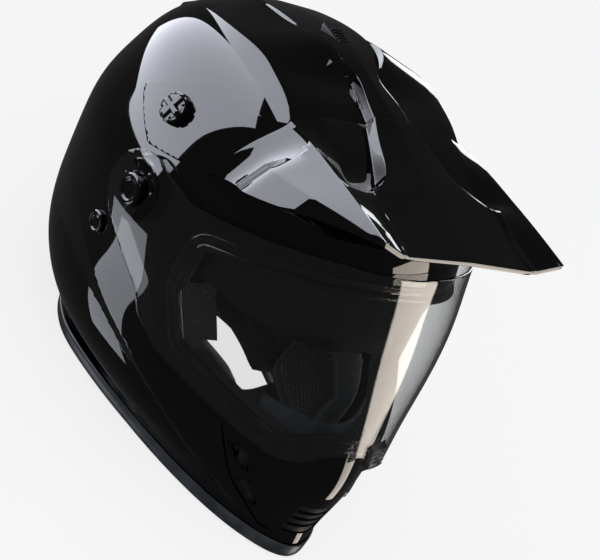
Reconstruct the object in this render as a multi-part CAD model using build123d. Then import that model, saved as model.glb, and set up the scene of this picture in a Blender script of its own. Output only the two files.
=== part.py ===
from build123d import *
import functools
import math
import os

# Dual sport helmet, standing on the rim of its neck opening. Millimetres, +Z up.
# The origin is on the plane of the rim, in the middle of the helmet's width.
# The helmet faces -Y, and +X is the wearer's left. Places are written as (across, forward, up).

# Outer form of the shell
shell_half_width = 127
shell_height = 256
chin_reach = 189
nape_reach = 164
shell_wall = 3
rim_drop = 7               # heights are taken from a level this far above the foot of the rim
form_start = -20           # the forms start under the rim and are cut off at it
crown_lift_start = 150     # below this height a thicker or thinner form keeps its levels
smallest_cap = 20          # levels narrower than this are left out of the inner forms
points_around = 24

# One row a level: height, half width, front reach, rear reach and widest place as shares of
# shell_height, shell_half_width, chin_reach, nape_reach and nape_reach, and how pointed the
# front is, as the exponent of its curve.
level_shares = [
    (0.000, 0.650, 0.950, 0.549, -0.061, 1.72),
    (0.078, 0.790, 0.942, 0.744, -0.061, 1.72),
    (0.156, 0.885, 0.955, 0.872, -0.061, 1.66),
    (0.234, 0.926, 0.955, 0.933, -0.061, 1.64),
    (0.352, 0.957, 0.900, 0.976, -0.061, 1.72),
    (0.469, 0.990, 0.826, 0.994, -0.061, 1.90),
    (0.586, 1.002, 0.750, 1.000, -0.061, 2.04),
    (0.703, 0.958, 0.675, 0.963, -0.061, 2.10),
    (0.820, 0.882, 0.587, 0.890, -0.091, 2.25),
    (0.910, 0.740, 0.450, 0.756, -0.122, 2.25),
    (0.965, 0.530, 0.265, 0.561, -0.122, 2.25),
    (1.000, 0.299, 0.127, 0.402, -0.128, 2.25),
]
rear_roundness = 2.25

# Rim and edge trim, in side view
rim_flat_end = -78         # the rim is flat in front of this place and rises behind it
rim_nape_turn = -128
rim_nape_rise = 30
rim_nape_height = 37
rim_bend_radius = 40
trim_height = 9
trim_lip = 1.4             # the trim stands this far outside and inside the wall
trim_seat = 4              # the wall stands this deep in the trim

# Eyeport and its gasket, in side view
eyeport_rear = 61
eyeport_rear_low = 64
eyeport_side_top = 160
eyeport_side_middle = 121
eyeport_cheek = 81
eyeport_cheek_height = 89
eyeport_chin = 155
eyeport_chin_height = 74
eyeport_nose = (167, 91)
eyeport_nose_height = 98
eyeport_brow = 102
eyeport_brow_height = 175
eyeport_brow_front = 127
eyeport_top = 185
eyeport_corner = 9
gasket_width = 5
gasket_proud = 2.4
gasket_depth = 5
gasket_seat = 0.8          # foam and lining stop this far outside the eyeport

# Clearances and overruns
seat_gap = 0.3
shell_gap = 0.4
overrun = 30

# Energy absorbing foam, comfort lining and pads
eps_thickness = 30
eps_side_bottom = 40
cheek_zone_rear = 14
cheek_zone_top = 92
chin_eps_thickness = 18
chin_eps_bottom = 16
lining_thickness = 8
lining_bottom = 70
pad_thickness = 30
pad_front = 112
pad_bottom = 15
pad_top = 90
pad_seat = 1.8
pad_draw_share = 0.08      # how far the face is drawn in at its edges, of half the height

# Sections of a cheek pad from rear to front, as shares: place along its length, thickness and height
pad_shares = [
    (0.00, 0.35, 0.80),
    (0.08, 0.75, 0.95),
    (0.30, 1.00, 1.00),
    (0.62, 1.00, 1.00),
    (0.85, 0.80, 0.85),
    (1.00, 0.35, 0.55),
]

# Neck roll, ear pockets, breath guard and chin curtain
neck_roll_bottom = 10.5
neck_roll_height = 24
neck_roll_thickness = 20
earcup_radius = 24
earcup_place = (-8, 112)
breath_guard_half_width = 46
breath_guard_bottom = 52
breath_guard_top = 88
breath_guard_thickness = 2
chin_curtain_rear = 118
chin_curtain_height = 9
chin_curtain_thickness = 1.6

# Face shield: turns on an axis along X
pivot_forward = 8
pivot_height = 153
shield_gap = 6.6
shield_thickness = 2.2
shield_ear_radius = 27
shield_rear_low = (-8, 129)
shield_side_low = (20, 117)
shield_cheek = (43, 104)
shield_cheek_low = (55, 88)
shield_jaw = (74, 79)
shield_chin = (160, 68)
shield_chin_front = (172, 73)
shield_front = (178, 89)
shield_top_rear = (26, 178)
shield_top_side = (50, 178)
shield_top_brow = (84, 188)
shield_top_front = (120, 200)
shield_corner = 7
tab_centre = 19
tab_width = 20
tab_bottom = 79
tab_height = 17
tab_proud = 4
tab_rib_count = 6
tab_rib_depth = 1.2

# Pivots of the face shield
pivot_plate_radius = 21
pivot_plate_clearance = 1.5
pivot_boss_radius = 9.5
pivot_fit = 0.05
pivot_cap_radius = 10.8
pivot_cap_height = 2.2
pivot_cap_lift = 0.7
pivot_dimple_radius = 6.6
pivot_dimple_depth = 0.8
pivot_tooth_count = 7
pivot_tooth_ring = 16.5
pivot_tooth_radius = 1.3
pivot_tooth_height = 0.9

# Drop-down sun visor: a surface turned about its own X axis
visor_pivot_forward = 18
visor_pivot_height = 145
visor_reach = 103
visor_half_width = 99
visor_side_reach = 47
visor_thickness = 1.8
visor_top_angle = 32
visor_bottom_angle = 11
visor_lift_range = 40
visor_slot_clearance = 1.6
visor_inner_clearance = 4
visor_pin_radius = 4
visor_pin_length = 12
visor_margin = 3
visor_notch_height = 106
visor_arm_forward = 60
visor_arm_fall = 14
visor_arm_rise = 30
visor_hub_radius = 10
nose_notch_radius = 22

# Lever of the sun visor, on the wearer's left
lever_place = -10
lever_height = 24
lever_travel = 26         # turns the visor through its whole range
lever_length = 16
lever_width = 9
lever_neck_width = 4
lever_neck_length = 7
lever_proud = 4
lever_gap = 0.8
lever_neck_inside = 5
lever_carriage = 3
lever_clearance = 1

# Peak
peak_thickness = 3
ridge_share = 1.4          # how deep the wall is under the ridge, of its thickness
peak_gap = 1.4
peak_front = 162
peak_ridge = 80
peak_height = 250
peak_crease = 60
peak_edge = 119
peak_spine_slope = 3
ear_inner = 68
ear_cut_gap = 1.2

# The side arms of the peak in side view, as (forward, up) shares of peak_front and peak_height
ear_shares = [
    (-0.346, 0.784),
    (-0.173, 0.732),
    (-0.074, 0.708),
    (0.154, 0.760),
    (0.333, 0.808),
    (0.333, 0.984),
    (0.247, 0.980),
    (0.191, 0.956),
    (0.086, 0.938),
    (-0.068, 0.934),
    (-0.179, 0.868),
]

# Cross sections of the hood of the peak, from its rear edge to its front edge, as shares:
# forward of peak_front, spine half width of peak_ridge, spine height, deck height, ridge height
# and edge height of peak_height, and edge half width of peak_edge.
hood_shares = [
    (0.247, 0.210, 1.052, 1.016, 0.988, 0.790, 0.975),
    (0.395, 0.300, 1.032, 0.996, 1.000, 0.832, 1.000),
    (0.605, 0.500, 1.014, 0.980, 1.008, 0.892, 0.941),
    (0.667, 0.640, 1.008, 1.002, 1.010, 0.912, 0.908),
    (0.802, 0.660, 0.997, 0.994, 1.013, 0.952, 0.807),
    (1.000, 0.680, 0.986, 0.985, 1.014, 1.000, 0.664),
]

# Knurled screws that hold the peak
knob_radius = 11
knob_height = 6.5
knob_notch_count = 8
knob_notch_radius = 2.2
knob_grip_width = 3.4
knob_grip_height = 2
knob_forward = -12
knob_up = 206
knob_seat = 0.3
knob_shank_radius = 3
knob_fit = 0.05
knob_shank_length = 9

# Side screws behind the pivots
side_screw_forward = -16
side_screw_up = 105
side_screw_seat = 0.3
side_screw_shank = 2.5
side_screw_radius = 8
side_screw_height = 3
side_screw_slot_width = 2
side_screw_slot_depth = 1.2

# Top vent housing and its slider
crown_reach = 150
crown_half_width = 76
crown_height = 250
crown_wall = 3
crown_spread = 5
crown_floor = 150
spine_slope = 1.5
slider_up = 262.6
slider_seat = 0.3
slider_bed = 2.5
slider_rib = 1
slider_rib_count = 5
slider_length = 30
slider_width = 14
slider_height = 4
slider_travel = 8
slider_forward = -42
slider_slot_margin = 1

# Chin vents
chin_vent_inner = 19
chin_vent_top = 63
chin_vent_foot = 9
chin_vent_rear = 126
chin_vent_lower_rear = 144
chin_vent_tip = 170
chin_vent_front = 163
intake_place = 40
intake_forward = 18
intake_width = 34
intake_length = 12
grille_depth = 4
grille_proud = -0.8
grille_gap = 0.3
grille_slot_places = [(149, 42), (158, 21)]
grille_slot_height = 14
grille_slot_width = 8
grille_slot_lean = 9
grille_fin_thickness = 2.4
grille_fin_proud = 1.2
grille_fin_rise = 20
mouth_half_width = 14
mouth_bottom = 14
mouth_top = 40
mouth_slat_count = 3
mouth_slat_gap = 3
mouth_slot_reach = 30
shutter_half_width = 16
shutter_height = 30
shutter_thickness = 2
shutter_gap = 2.8
shutter_pocket = 14          # how deep the foam is cut away for the shutter

# Cross sections of the top vent housing, from front to rear, as shares: forward of crown_reach,
# half width of crown_half_width, spine half width of the half width there, and top, deck,
# shoulder and foot height of crown_height.
crown_shares = [
    (0.260, 1.000, 0.210, 1.048, 1.012, 0.980, 0.880),
    (0.130, 1.000, 0.180, 1.060, 1.026, 1.008, 0.928),
    (-0.030, 1.000, 0.160, 1.068, 1.048, 1.022, 0.944),
    (-0.060, 1.000, 0.200, 1.070, 1.064, 1.024, 0.944),
    (-0.330, 1.000, 0.400, 1.060, 1.052, 1.000, 0.920),
    (-0.600, 0.900, 0.420, 1.014, 1.004, 0.948, 0.870),
    (-0.800, 0.780, 0.440, 0.952, 0.944, 0.890, 0.820),
    (-0.900, 0.700, 0.440, 0.900, 0.892, 0.850, 0.780),
]

# Rear vent
rear_vent_half_width = 34
rear_vent_height = 14
rear_vent_centre = 196
rear_vent_slot_count = 5
rear_vent_proud = 2.5

# Chin strap
strap_width = 24
strap_thickness = 2
strap_forward = 36
strap_anchor_up = 8
strap_low = -1.5
strap_end_up = 2
strap_bend = 25
strap_turn = 20            # how far inside its anchor the strap turns
strap_left_end = 30
strap_right_end = -4
anchor_thickness = 1.6
anchor_height = 9
rivet_radius = 4
rivet_height = 4
ring_wire = 1.9
ring_gap = 0.4
ring_reach = 22
ring_half_width = 15
loop_wall = 1.4
loop_gap = 0.2


def at(across, forward, up):
    return Vector(across, -forward, up)


def level(shares, grow):
    """One closed level of the form, grown outwards by grow."""
    height, width, front, rear, middle, point = shares
    up = height * shell_height
    lift = max(0, (up - crown_lift_start) / (shell_height - crown_lift_start))
    half = width * shell_half_width + grow
    ahead = front * chin_reach + grow - middle * nape_reach
    behind = rear * nape_reach + grow + middle * nape_reach
    places = []
    for step in range(points_around):
        turn = math.pi + 2 * math.pi * step / points_around
        side, along = math.sin(turn), math.cos(turn)
        power = 2 / (point if along > 0 else rear_roundness)
        reach = ahead if along > 0 else behind
        across = half * math.copysign(abs(side) ** power, side)
        forward = middle * nape_reach + reach * math.copysign(abs(along) ** power, along)
        places.append(at(across, forward, up + lift * grow))
    return Wire(Spline(*places, periodic=True))


@functools.cache
def form(grow):
    """The whole outer form as a closed solid, grown outwards by grow."""
    rows = [row for row in level_shares if row[1] * shell_half_width + grow > smallest_cap]
    base = level(rows[0], grow)
    wires = [base.translate(Vector(0, 0, form_start))] + [level(row, grow) for row in rows]
    return Solid.make_loft(wires)


def side_prism(outline, corner=0, half=None):
    """A prism across the helmet whose outline is given as (forward, up)."""
    wide = half or shell_half_width + overrun
    edge = Polyline(*[Vector(0, -forward, up) for forward, up in outline], close=True)
    face = make_face(edge)
    if corner:
        face = fillet(face.vertices(), corner)
    return extrude(face, amount=wide, dir=(1, 0, 0), both=True)


def slab(low, high):
    """Everything between two heights."""
    span = 2 * (chin_reach + overrun)
    return Pos(0, 0, (low + high) / 2) * Box(span, span, high - low)


def ahead_of(forward):
    """Everything ahead of a place."""
    span = 2 * (chin_reach + overrun)
    return Pos(0, -forward - span / 2, 0) * Box(span, span, 2 * span)


def behind(forward):
    span = 2 * (chin_reach + overrun)
    return Pos(0, -forward + span / 2, 0) * Box(span, span, 2 * span)


def below_rim(rise):
    """Everything under the rim line, moved up by rise."""
    far = chin_reach + overrun
    base = rise - rim_drop
    start = Vector(0, -far, base)
    bend = Vector(0, -rim_flat_end, base)
    nape = Vector(0, -rim_nape_turn, base + rim_nape_rise)
    end = Vector(0, far, base + rim_nape_height)
    line = FilletPolyline(start, bend, nape, end, radius=rim_bend_radius)
    deep = Polyline(end, Vector(0, far, -overrun), Vector(0, -far, -overrun), start)
    face = make_face(line.edges() + deep.edges())
    return extrude(face, amount=shell_half_width + overrun, dir=(1, 0, 0), both=True)


def eyeport(grow):
    """The eyeport as a prism, grown outwards by grow."""
    far = chin_reach + 2 * overrun
    outline = [
        (eyeport_rear, eyeport_side_top),
        (eyeport_brow, eyeport_brow_height),
        (eyeport_brow_front, eyeport_top),
        (far, eyeport_top),
        (far, eyeport_nose_height),
        eyeport_nose,
        (eyeport_chin, eyeport_chin_height),
        (eyeport_cheek, eyeport_cheek_height),
        (eyeport_rear_low, eyeport_side_middle),
    ]
    edge = Polyline(*[Vector(0, -forward, up) for forward, up in outline], close=True)
    face = fillet(make_face(edge).vertices(), eyeport_corner)
    if grow:
        face = offset(face, grow)
    return extrude(face, amount=shell_half_width + overrun, dir=(1, 0, 0), both=True)


def one_side(side):
    """Half of space: side is 1 for the wearer's left and -1 for the right."""
    span = 2 * (chin_reach + overrun)
    return Pos(side * span / 2, 0, 0) * Box(span, span, 2 * span)


def save(name, shape):
    """Write a piece, lifted so that the rim stands at height 0."""
    solids = (Pos(0, 0, rim_drop) * shape).solids()
    whole = solids[0] if len(solids) == 1 else Compound(children=list(solids))
    whole.label = name
    export_step(whole, f"parts/{name}.step")


os.makedirs("parts", exist_ok=True)


@functools.cache
def between(outer, inner):
    """The wall between two sizes of the form."""
    return form(outer) - form(inner)


def block(centre, size):
    """A box with its centre at (across, forward, up) and its size in the same order."""
    return Pos(at(*centre)) * Box(*size)


def bar(centre, radius, length):
    """A cylinder along X with its centre at (across, forward, up)."""
    return Pos(at(*centre)) * Rot(0, 90, 0) * Cylinder(radius, length)


def skin(side, forward, up, grow):
    """The plane that lies on the form's side at a place and faces outwards."""
    line = Axis(at(0, forward, up), (side, 0, 0))
    places = form(grow).find_intersection_points(line)
    place, facing = max(places, key=lambda found: side * found[0].X)
    if side * facing.X < 0:
        facing = -facing
    return Plane(place, x_dir=(0, -1, 0), z_dir=facing)


# The wall that many pieces are cut from
wall = between(0, -shell_wall)


def chin_window(grow):
    """The opening for a chin vent, on both sides of the chin."""
    outline = [
        (chin_vent_rear - grow, chin_vent_top + grow),
        (chin_vent_front + grow, chin_vent_top + grow),
        (chin_vent_tip + grow, chin_vent_foot - grow),
        (chin_vent_tip - chin_vent_foot / 2 - grow, chin_vent_foot - grow),
        (chin_vent_lower_rear - grow, chin_vent_top / 2 - grow),
    ]
    middle = block((0, chin_reach, chin_vent_top / 2), (2 * (chin_vent_inner - grow), chin_reach, shell_height))
    return side_prism(outline) - middle


def mouth_window(grow):
    centre = (0, chin_reach, (mouth_bottom + mouth_top) / 2)
    tall = mouth_top - mouth_bottom + 2 * grow
    return block(centre, (2 * (mouth_half_width + grow), 2 * mouth_slot_reach, tall))


def lever_room(wide, spare, low, high):
    """The room that a part of the lever takes over its travel, between two depths."""
    plane = skin(1, lever_place, lever_height, 0)
    long = lever_travel + wide[0] + 2 * spare
    return plane.location * Pos(0, 0, (low + high) / 2) * Box(long, wide[1] + 2 * spare, high - low)


def knob_hole(side):
    """The hole for a peak screw, through the peak's arm and the shell."""
    plane = skin(side, knob_forward, knob_up, peak_gap + peak_thickness)
    return plane.location * Cylinder(knob_shank_radius + knob_fit, 2 * knob_shank_length)


def rear_vent_window(grow):
    tall = rear_vent_height + 2 * grow
    centre = (0, -nape_reach, rear_vent_centre)
    return block(centre, (2 * (rear_vent_half_width + grow), 2 * overrun, tall))


def make_shell():
    shell = wall - below_rim(trim_height - trim_seat) - eyeport(0)
    shell -= chin_window(0)
    shell -= mouth_window(0)
    shell -= lever_room((lever_neck_length, lever_neck_width), lever_gap, -overrun, overrun)
    shell -= rear_vent_window(0)
    for side in (-1, 1):
        shell -= knob_hole(side)
        plane = skin(side, side_screw_forward, side_screw_up, 0)
        shell -= plane.location * Cylinder(side_screw_shank, overrun)
    for across in (-intake_place, intake_place):
        shell -= block((across, intake_forward, shell_height), (intake_width, intake_length, overrun))
    return shell


def make_trim():
    band = between(trim_lip, -shell_wall - trim_lip)
    band = (band - below_rim(0)) & below_rim(trim_height)
    return band - (wall - below_rim(trim_height - trim_seat))


def make_gasket():
    ring = between(gasket_proud, -shell_wall - gasket_depth)
    return ring & (eyeport(0) - eyeport(-gasket_width))


def visor_band(inside, outside, spread):
    """The section of the sun visor as a face, thickened by inside and outside and widened."""
    wide = visor_half_width + spread
    high = visor_reach + outside
    low = visor_reach - visor_thickness - inside
    outer_side = Vector(wide, -visor_side_reach - outside, 0)
    inner_side = Vector(wide, -visor_side_reach + visor_thickness + inside, 0)
    outer = ThreePointArc(Vector(-wide, outer_side.Y, 0), Vector(0, -high, 0), outer_side)
    inner = ThreePointArc(Vector(-wide, inner_side.Y, 0), Vector(0, -low, 0), inner_side)
    ends = [Line(outer @ 1, inner @ 1), Line(inner @ 0, outer @ 0)]
    return make_face([outer, inner] + ends)


def turned(face, top, bottom):
    """A face turned about the pivot of the sun visor, from the angle top down to bottom."""
    start = Rot(-top, 0, 0) * face
    solid = revolve(start, Axis.X, revolution_arc=top - bottom)
    return Pos(at(0, visor_pivot_forward, visor_pivot_height)) * solid


def visor_recess():
    face = visor_band(visor_inner_clearance, eps_thickness, visor_slot_clearance)
    swept = turned(face, visor_top_angle + visor_lift_range + visor_margin, -visor_bottom_angle - visor_margin)
    place = (0, visor_pivot_forward, visor_pivot_height)
    inner = visor_half_width - visor_thickness - visor_slot_clearance - lining_thickness
    outer = visor_half_width + visor_slot_clearance
    for side in (-1, 1):
        centre = (side * (inner + outer) / 2, place[1], place[2])
        swept += bar(centre, visor_side_reach + visor_slot_clearance, outer - inner)
    return swept


def make_eps():
    liner = between(-shell_wall - shell_gap, -shell_wall - shell_gap - eps_thickness)
    liner -= below_rim(eps_side_bottom)
    liner -= side_prism([
        (cheek_zone_rear, -overrun),
        (cheek_zone_rear, cheek_zone_top),
        (chin_reach, cheek_zone_top),
        (chin_reach, -overrun),
    ])
    liner -= eyeport(gasket_seat)
    liner -= ahead_of(eyeport_brow_front)
    liner -= visor_recess()
    ear = (0, earcup_place[0], earcup_place[1])
    liner -= bar(ear, earcup_radius, 2 * (shell_half_width - eps_thickness / 2))
    for side in (-1, 1):
        liner -= visor_pin(side)
        liner -= knob_hole(side)
    return max(liner.solids(), key=lambda solid: solid.volume)


def make_chin_eps():
    ring = between(-shell_wall - shell_gap, -shell_wall - shell_gap - chin_eps_thickness)
    ring &= ahead_of(cheek_zone_rear + seat_gap)
    ring &= slab(chin_eps_bottom, cheek_zone_top - seat_gap)
    ring -= eyeport(gasket_seat)
    ring -= chin_window(grille_gap) - form(grille_proud - grille_depth - grille_gap)
    centre = (0, chin_reach, (mouth_top + mouth_bottom) / 2)
    pocket = block(centre, (2 * (shutter_half_width + shutter_gap), chin_reach, shell_height))
    ring -= pocket - form(-shutter_pocket)
    return ring


def make_lining():
    outer = -shell_wall - shell_gap - eps_thickness - seat_gap
    lining = between(outer, outer - lining_thickness)
    lining -= below_rim(lining_bottom)
    lining -= side_prism([
        (cheek_zone_rear, -overrun),
        (cheek_zone_rear, cheek_zone_top + seat_gap),
        (chin_reach, cheek_zone_top + seat_gap),
        (chin_reach, -overrun),
    ])
    lining -= eyeport(gasket_seat)
    return max(lining.solids(), key=lambda solid: solid.volume)


def pad_section(side, forward, thick, tall):
    """A section of a cheek pad: its back against the foam, its face crowned, its edges drawn in."""
    outer = -shell_wall - shell_gap - chin_eps_thickness - pad_seat
    middle = (pad_top + pad_bottom) / 2
    reach = tall * (pad_top - pad_bottom) / 2
    places = [skin(side, forward, up, outer).origin for up in (middle - reach, middle, middle + reach)]
    low, back, high = places
    inwards = Vector(-side * pad_thickness * thick / 2, 0, 0)
    draw = Vector(0, 0, pad_draw_share * reach)
    low_face = low + inwards + draw
    high_face = high + inwards - draw
    edges = [
        ThreePointArc(low, back, high),
        Line(high, high_face),
        ThreePointArc(high_face, back + 2 * inwards, low_face),
        Line(low_face, low),
    ]
    return Wire(edges)


def make_cheek_pad(side):
    rear = cheek_zone_rear + seat_gap
    sections = [
        pad_section(side, rear + share * (pad_front - rear), thick, tall)
        for share, thick, tall in pad_shares
    ]
    return Solid.make_loft(sections)


def make_neck_roll():
    outer = -shell_wall - trim_lip - shell_gap
    roll = between(outer, outer - neck_roll_thickness)
    roll = roll - below_rim(neck_roll_bottom)
    roll &= below_rim(neck_roll_bottom + neck_roll_height)
    roll &= behind(cheek_zone_rear - seat_gap)
    depth = lever_neck_inside + lever_carriage + lever_clearance
    pocket = lever_room((lever_length, lever_width), lever_clearance, -depth, 0)
    return max((roll - pocket).solids(), key=lambda solid: solid.volume)


def make_breath_guard():
    outer = -shell_wall - shell_gap - chin_eps_thickness - seat_gap
    guard = between(outer, outer - breath_guard_thickness)
    high = breath_guard_top - breath_guard_bottom
    middle = (breath_guard_top + breath_guard_bottom) / 2
    return guard & block((0, chin_reach, middle), (2 * breath_guard_half_width, chin_reach, high))


def make_chin_curtain():
    outer = -shell_wall - seat_gap
    sheet = between(outer, outer - chin_eps_thickness)
    sheet &= slab(chin_curtain_height, chin_curtain_height + chin_curtain_thickness)
    return sheet & ahead_of(chin_curtain_rear)


def shield_outline():
    far = chin_reach + overrun
    points = [
        shield_rear_low, shield_side_low, shield_cheek, shield_cheek_low, shield_jaw,
        shield_chin, shield_chin_front, shield_front, (far, shield_front[1]),
        (far, shield_top_front[1]), shield_top_front, shield_top_brow, shield_top_side,
        shield_top_rear, (pivot_forward, pivot_height + shield_ear_radius),
    ]
    edge = Polyline(*[Vector(0, -forward, up) for forward, up in points], close=True)
    face = make_face(edge)
    corners = [corner for corner in face.vertices() if shield_corner < -corner.Y < far - shield_corner]
    face = fillet(corners, shield_corner)
    body = extrude(face, amount=shell_half_width + overrun, dir=(1, 0, 0), both=True)
    ear = bar((0, pivot_forward, pivot_height), shield_ear_radius, 2 * (shell_half_width + overrun))
    return body + ear


def make_shield():
    outside = shield_gap + shield_thickness
    shield = between(outside, shield_gap) & shield_outline()
    lug = between(outside + tab_proud, outside - shield_thickness / 2)
    lug &= block((tab_centre, chin_reach, tab_bottom + tab_height / 2), (tab_width, chin_reach, tab_height))
    for rib in range(tab_rib_count):
        up = tab_bottom + tab_height * (rib + 1) / (tab_rib_count + 1)
        groove = form(outside + tab_proud - tab_rib_depth)
        slot = block((tab_centre, chin_reach, up), (2 * tab_width, chin_reach, tab_rib_depth))
        lug -= slot - groove
    shield += lug
    hole = bar((0, pivot_forward, pivot_height), pivot_boss_radius + pivot_fit, 4 * shell_half_width)
    return shield - hole


def make_pivot_plate(side):
    """The plate and boss that a side of the face shield turns on."""
    face_out = shell_half_width + shield_gap - pivot_plate_clearance
    middle = (side * face_out / 2, pivot_forward, pivot_height)
    plate = bar(middle, pivot_plate_radius, 2 * face_out) & form(shield_gap - pivot_plate_clearance)
    plate = plate & one_side(side)
    for tooth in range(pivot_tooth_count):
        turn = 2 * math.pi * tooth / pivot_tooth_count
        forward = pivot_forward + pivot_tooth_ring * math.cos(turn)
        up = pivot_height + pivot_tooth_ring * math.sin(turn)
        plate -= bar((side * face_out, forward, up), pivot_tooth_radius, 2 * pivot_tooth_height)
    boss_end = shell_half_width + shield_gap + shield_thickness + pivot_cap_lift
    plate += bar((side * boss_end / 2, pivot_forward, pivot_height), pivot_boss_radius, boss_end)
    return max((plate - form(seat_gap)).solids(), key=lambda solid: side * solid.center().X)


def make_pivot_cap(side):
    boss_end = shell_half_width + shield_gap + shield_thickness + pivot_cap_lift
    plane = Plane(at(side * boss_end, pivot_forward, pivot_height), x_dir=(0, -1, 0), z_dir=(side, 0, 0))
    cap = Pos(0, 0, pivot_cap_height / 2) * Cylinder(pivot_cap_radius, pivot_cap_height)
    cap = chamfer(cap.edges().group_by(Axis.Z)[-1], pivot_cap_height / 3)
    cap -= Pos(0, 0, pivot_cap_height) * Cylinder(pivot_dimple_radius, 2 * pivot_dimple_depth)
    return plane.location * cap


def make_sun_visor():
    lens = turned(visor_band(0, 0, 0), visor_top_angle, -visor_bottom_angle)
    notch = (0, visor_pivot_forward + visor_reach, visor_notch_height)
    lens -= Pos(at(*notch)) * Rot(90, 0, 0) * Cylinder(nose_notch_radius, 2 * overrun)
    for side in (-1, 1):
        middle = side * (visor_half_width - visor_thickness / 2)
        arm = [
            (visor_pivot_forward, visor_pivot_height + visor_hub_radius),
            (visor_pivot_forward, visor_pivot_height - visor_hub_radius),
            (visor_pivot_forward + visor_arm_forward, visor_pivot_height - visor_arm_fall),
            (visor_pivot_forward + visor_arm_forward, visor_pivot_height + visor_arm_rise),
        ]
        disc = bar((middle, visor_pivot_forward, visor_pivot_height), visor_side_reach, visor_thickness)
        web = disc & side_prism(arm)
        hub = bar((middle, visor_pivot_forward, visor_pivot_height), visor_hub_radius, visor_thickness)
        lens += web
        lens += hub
        lens -= bar((middle, visor_pivot_forward, visor_pivot_height), visor_pin_radius + pivot_fit, overrun)
    return lens


def visor_pin(side):
    start = visor_half_width - visor_thickness - visor_slot_clearance
    centre = (side * (start + visor_pin_length / 2), visor_pivot_forward, visor_pivot_height)
    return bar(centre, visor_pin_radius, visor_pin_length)


def make_lever():
    """The lever of the sun visor: a thumb piece outside, a neck and a carriage inside."""
    plane = skin(1, lever_place, lever_height, 0)
    cap = Pos(0, 0, lever_gap + lever_proud / 2) * Box(lever_length, lever_width, lever_proud)
    cap = fillet(cap.edges().filter_by(Axis.Z), lever_width / 4)
    long = lever_gap + lever_neck_inside
    neck = Pos(0, 0, lever_gap - long / 2) * Box(lever_neck_length, lever_neck_width, long)
    middle = -lever_neck_inside - lever_carriage / 2
    carriage = Pos(0, 0, middle) * Box(lever_length, lever_width, lever_carriage)
    return plane.location * Pos(-lever_travel / 2, 0, 0) * (cap + neck + carriage)


def scaled(shares, lengths):
    return [share * length for share, length in zip(shares, lengths)]


def hood_section(shares):
    """One cross section of the hood of the peak, as a closed wire."""
    lengths = (peak_front, peak_ridge, peak_height, peak_height, peak_height, peak_height, peak_edge)
    forward, spine, top, deck, ridge_up, edge_up, edge = scaled(shares, lengths)
    half = [
        (0, top),
        (spine, top - peak_spine_slope / 2),
        (spine + peak_spine_slope, deck),
        (max(peak_crease, spine + 2 * peak_spine_slope), deck),
        (peak_ridge, ridge_up),
        (edge, edge_up),
        (edge - peak_thickness, edge_up),
        (peak_ridge - peak_thickness, ridge_up - ridge_share * peak_thickness),
        (max(peak_crease, spine + 2 * peak_spine_slope), deck - peak_thickness),
        (spine + peak_spine_slope / 2, deck - peak_thickness),
        (spine - peak_spine_slope / 2, top - peak_thickness - peak_spine_slope / 2),
        (0, top - peak_thickness),
    ]
    outside = half[:6]
    inside = half[6:]
    left = [(-across, up) for across, up in reversed(outside[1:])]
    left_inside = [(-across, up) for across, up in reversed(inside[:-1])]
    places = outside + inside + left_inside + left
    return Wire(Polyline(*[at(across, forward, up) for across, up in places], close=True))


def make_peak():
    hood = Solid.make_loft([hood_section(shares) for shares in hood_shares], ruled=True)
    outline = [(forward * peak_front, up * peak_height) for forward, up in ear_shares]
    arms = between(peak_gap + peak_thickness, peak_gap) & side_prism(outline)
    middle = block((0, 0, peak_height), (2 * ear_inner, 4 * peak_front, shell_height))
    peak = hood + (arms - middle)
    peak -= form(peak_gap)
    for side in (-1, 1):
        peak -= knob_hole(side)
    return max(peak.solids(), key=lambda solid: solid.volume)


def make_knob(side):
    plane = skin(side, knob_forward, knob_up, peak_gap + peak_thickness)
    knob = Pos(0, 0, knob_seat + knob_height / 2) * Cylinder(knob_radius, knob_height)
    knob = chamfer(knob.edges().group_by(Axis.Z)[-1], knob_height / 5)
    for notch in range(knob_notch_count):
        turn = 360 * notch / knob_notch_count
        cut = Pos(knob_radius + knob_notch_radius / 3, 0, knob_seat) * Cylinder(knob_notch_radius, 3 * knob_height)
        knob -= Rot(0, 0, turn) * cut
    for turn in (0, 90):
        grip = Box(2 * knob_radius - 2 * knob_notch_radius, knob_grip_width, knob_grip_height)
        knob += Rot(0, 0, turn) * Pos(0, 0, knob_seat + knob_height + knob_grip_height / 2) * grip
    shank = Pos(0, 0, knob_seat - knob_shank_length / 2) * Cylinder(knob_shank_radius, knob_shank_length)
    return plane.location * (knob + shank)


def make_side_screw(side):
    plane = skin(side, side_screw_forward, side_screw_up, 0)
    head = Pos(0, 0, side_screw_seat + side_screw_height / 2) * Cylinder(side_screw_radius, side_screw_height)
    head = chamfer(head.edges().group_by(Axis.Z)[-1], side_screw_height / 4)
    slot = Box(3 * side_screw_radius, side_screw_slot_width, 2 * side_screw_slot_depth)
    head -= Pos(0, 0, side_screw_seat + side_screw_height) * slot
    head += Pos(0, 0, side_screw_seat - shell_wall / 2) * Cylinder(side_screw_shank, shell_wall)
    return plane.location * head


def crown_section(shares, thinner):
    lengths = (crown_reach, crown_half_width, 1, crown_height, crown_height, crown_height, crown_height)
    forward, wide, spine_share, top, deck, shoulder, foot = scaled(shares, lengths)
    spine = spine_share * wide
    half = [
        (0, top - thinner),
        (spine - thinner / 2, top - spine_slope - thinner),
        (spine + spine_slope - thinner / 2, deck - thinner),
        (wide - thinner, shoulder - thinner),
        (wide + crown_spread - thinner, foot),
        (wide + crown_spread - thinner, crown_floor),
    ]
    left = [(-across, up) for across, up in reversed(half[1:])]
    return Wire(Polyline(*[at(across, forward, up) for across, up in half + left], close=True))


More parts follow.
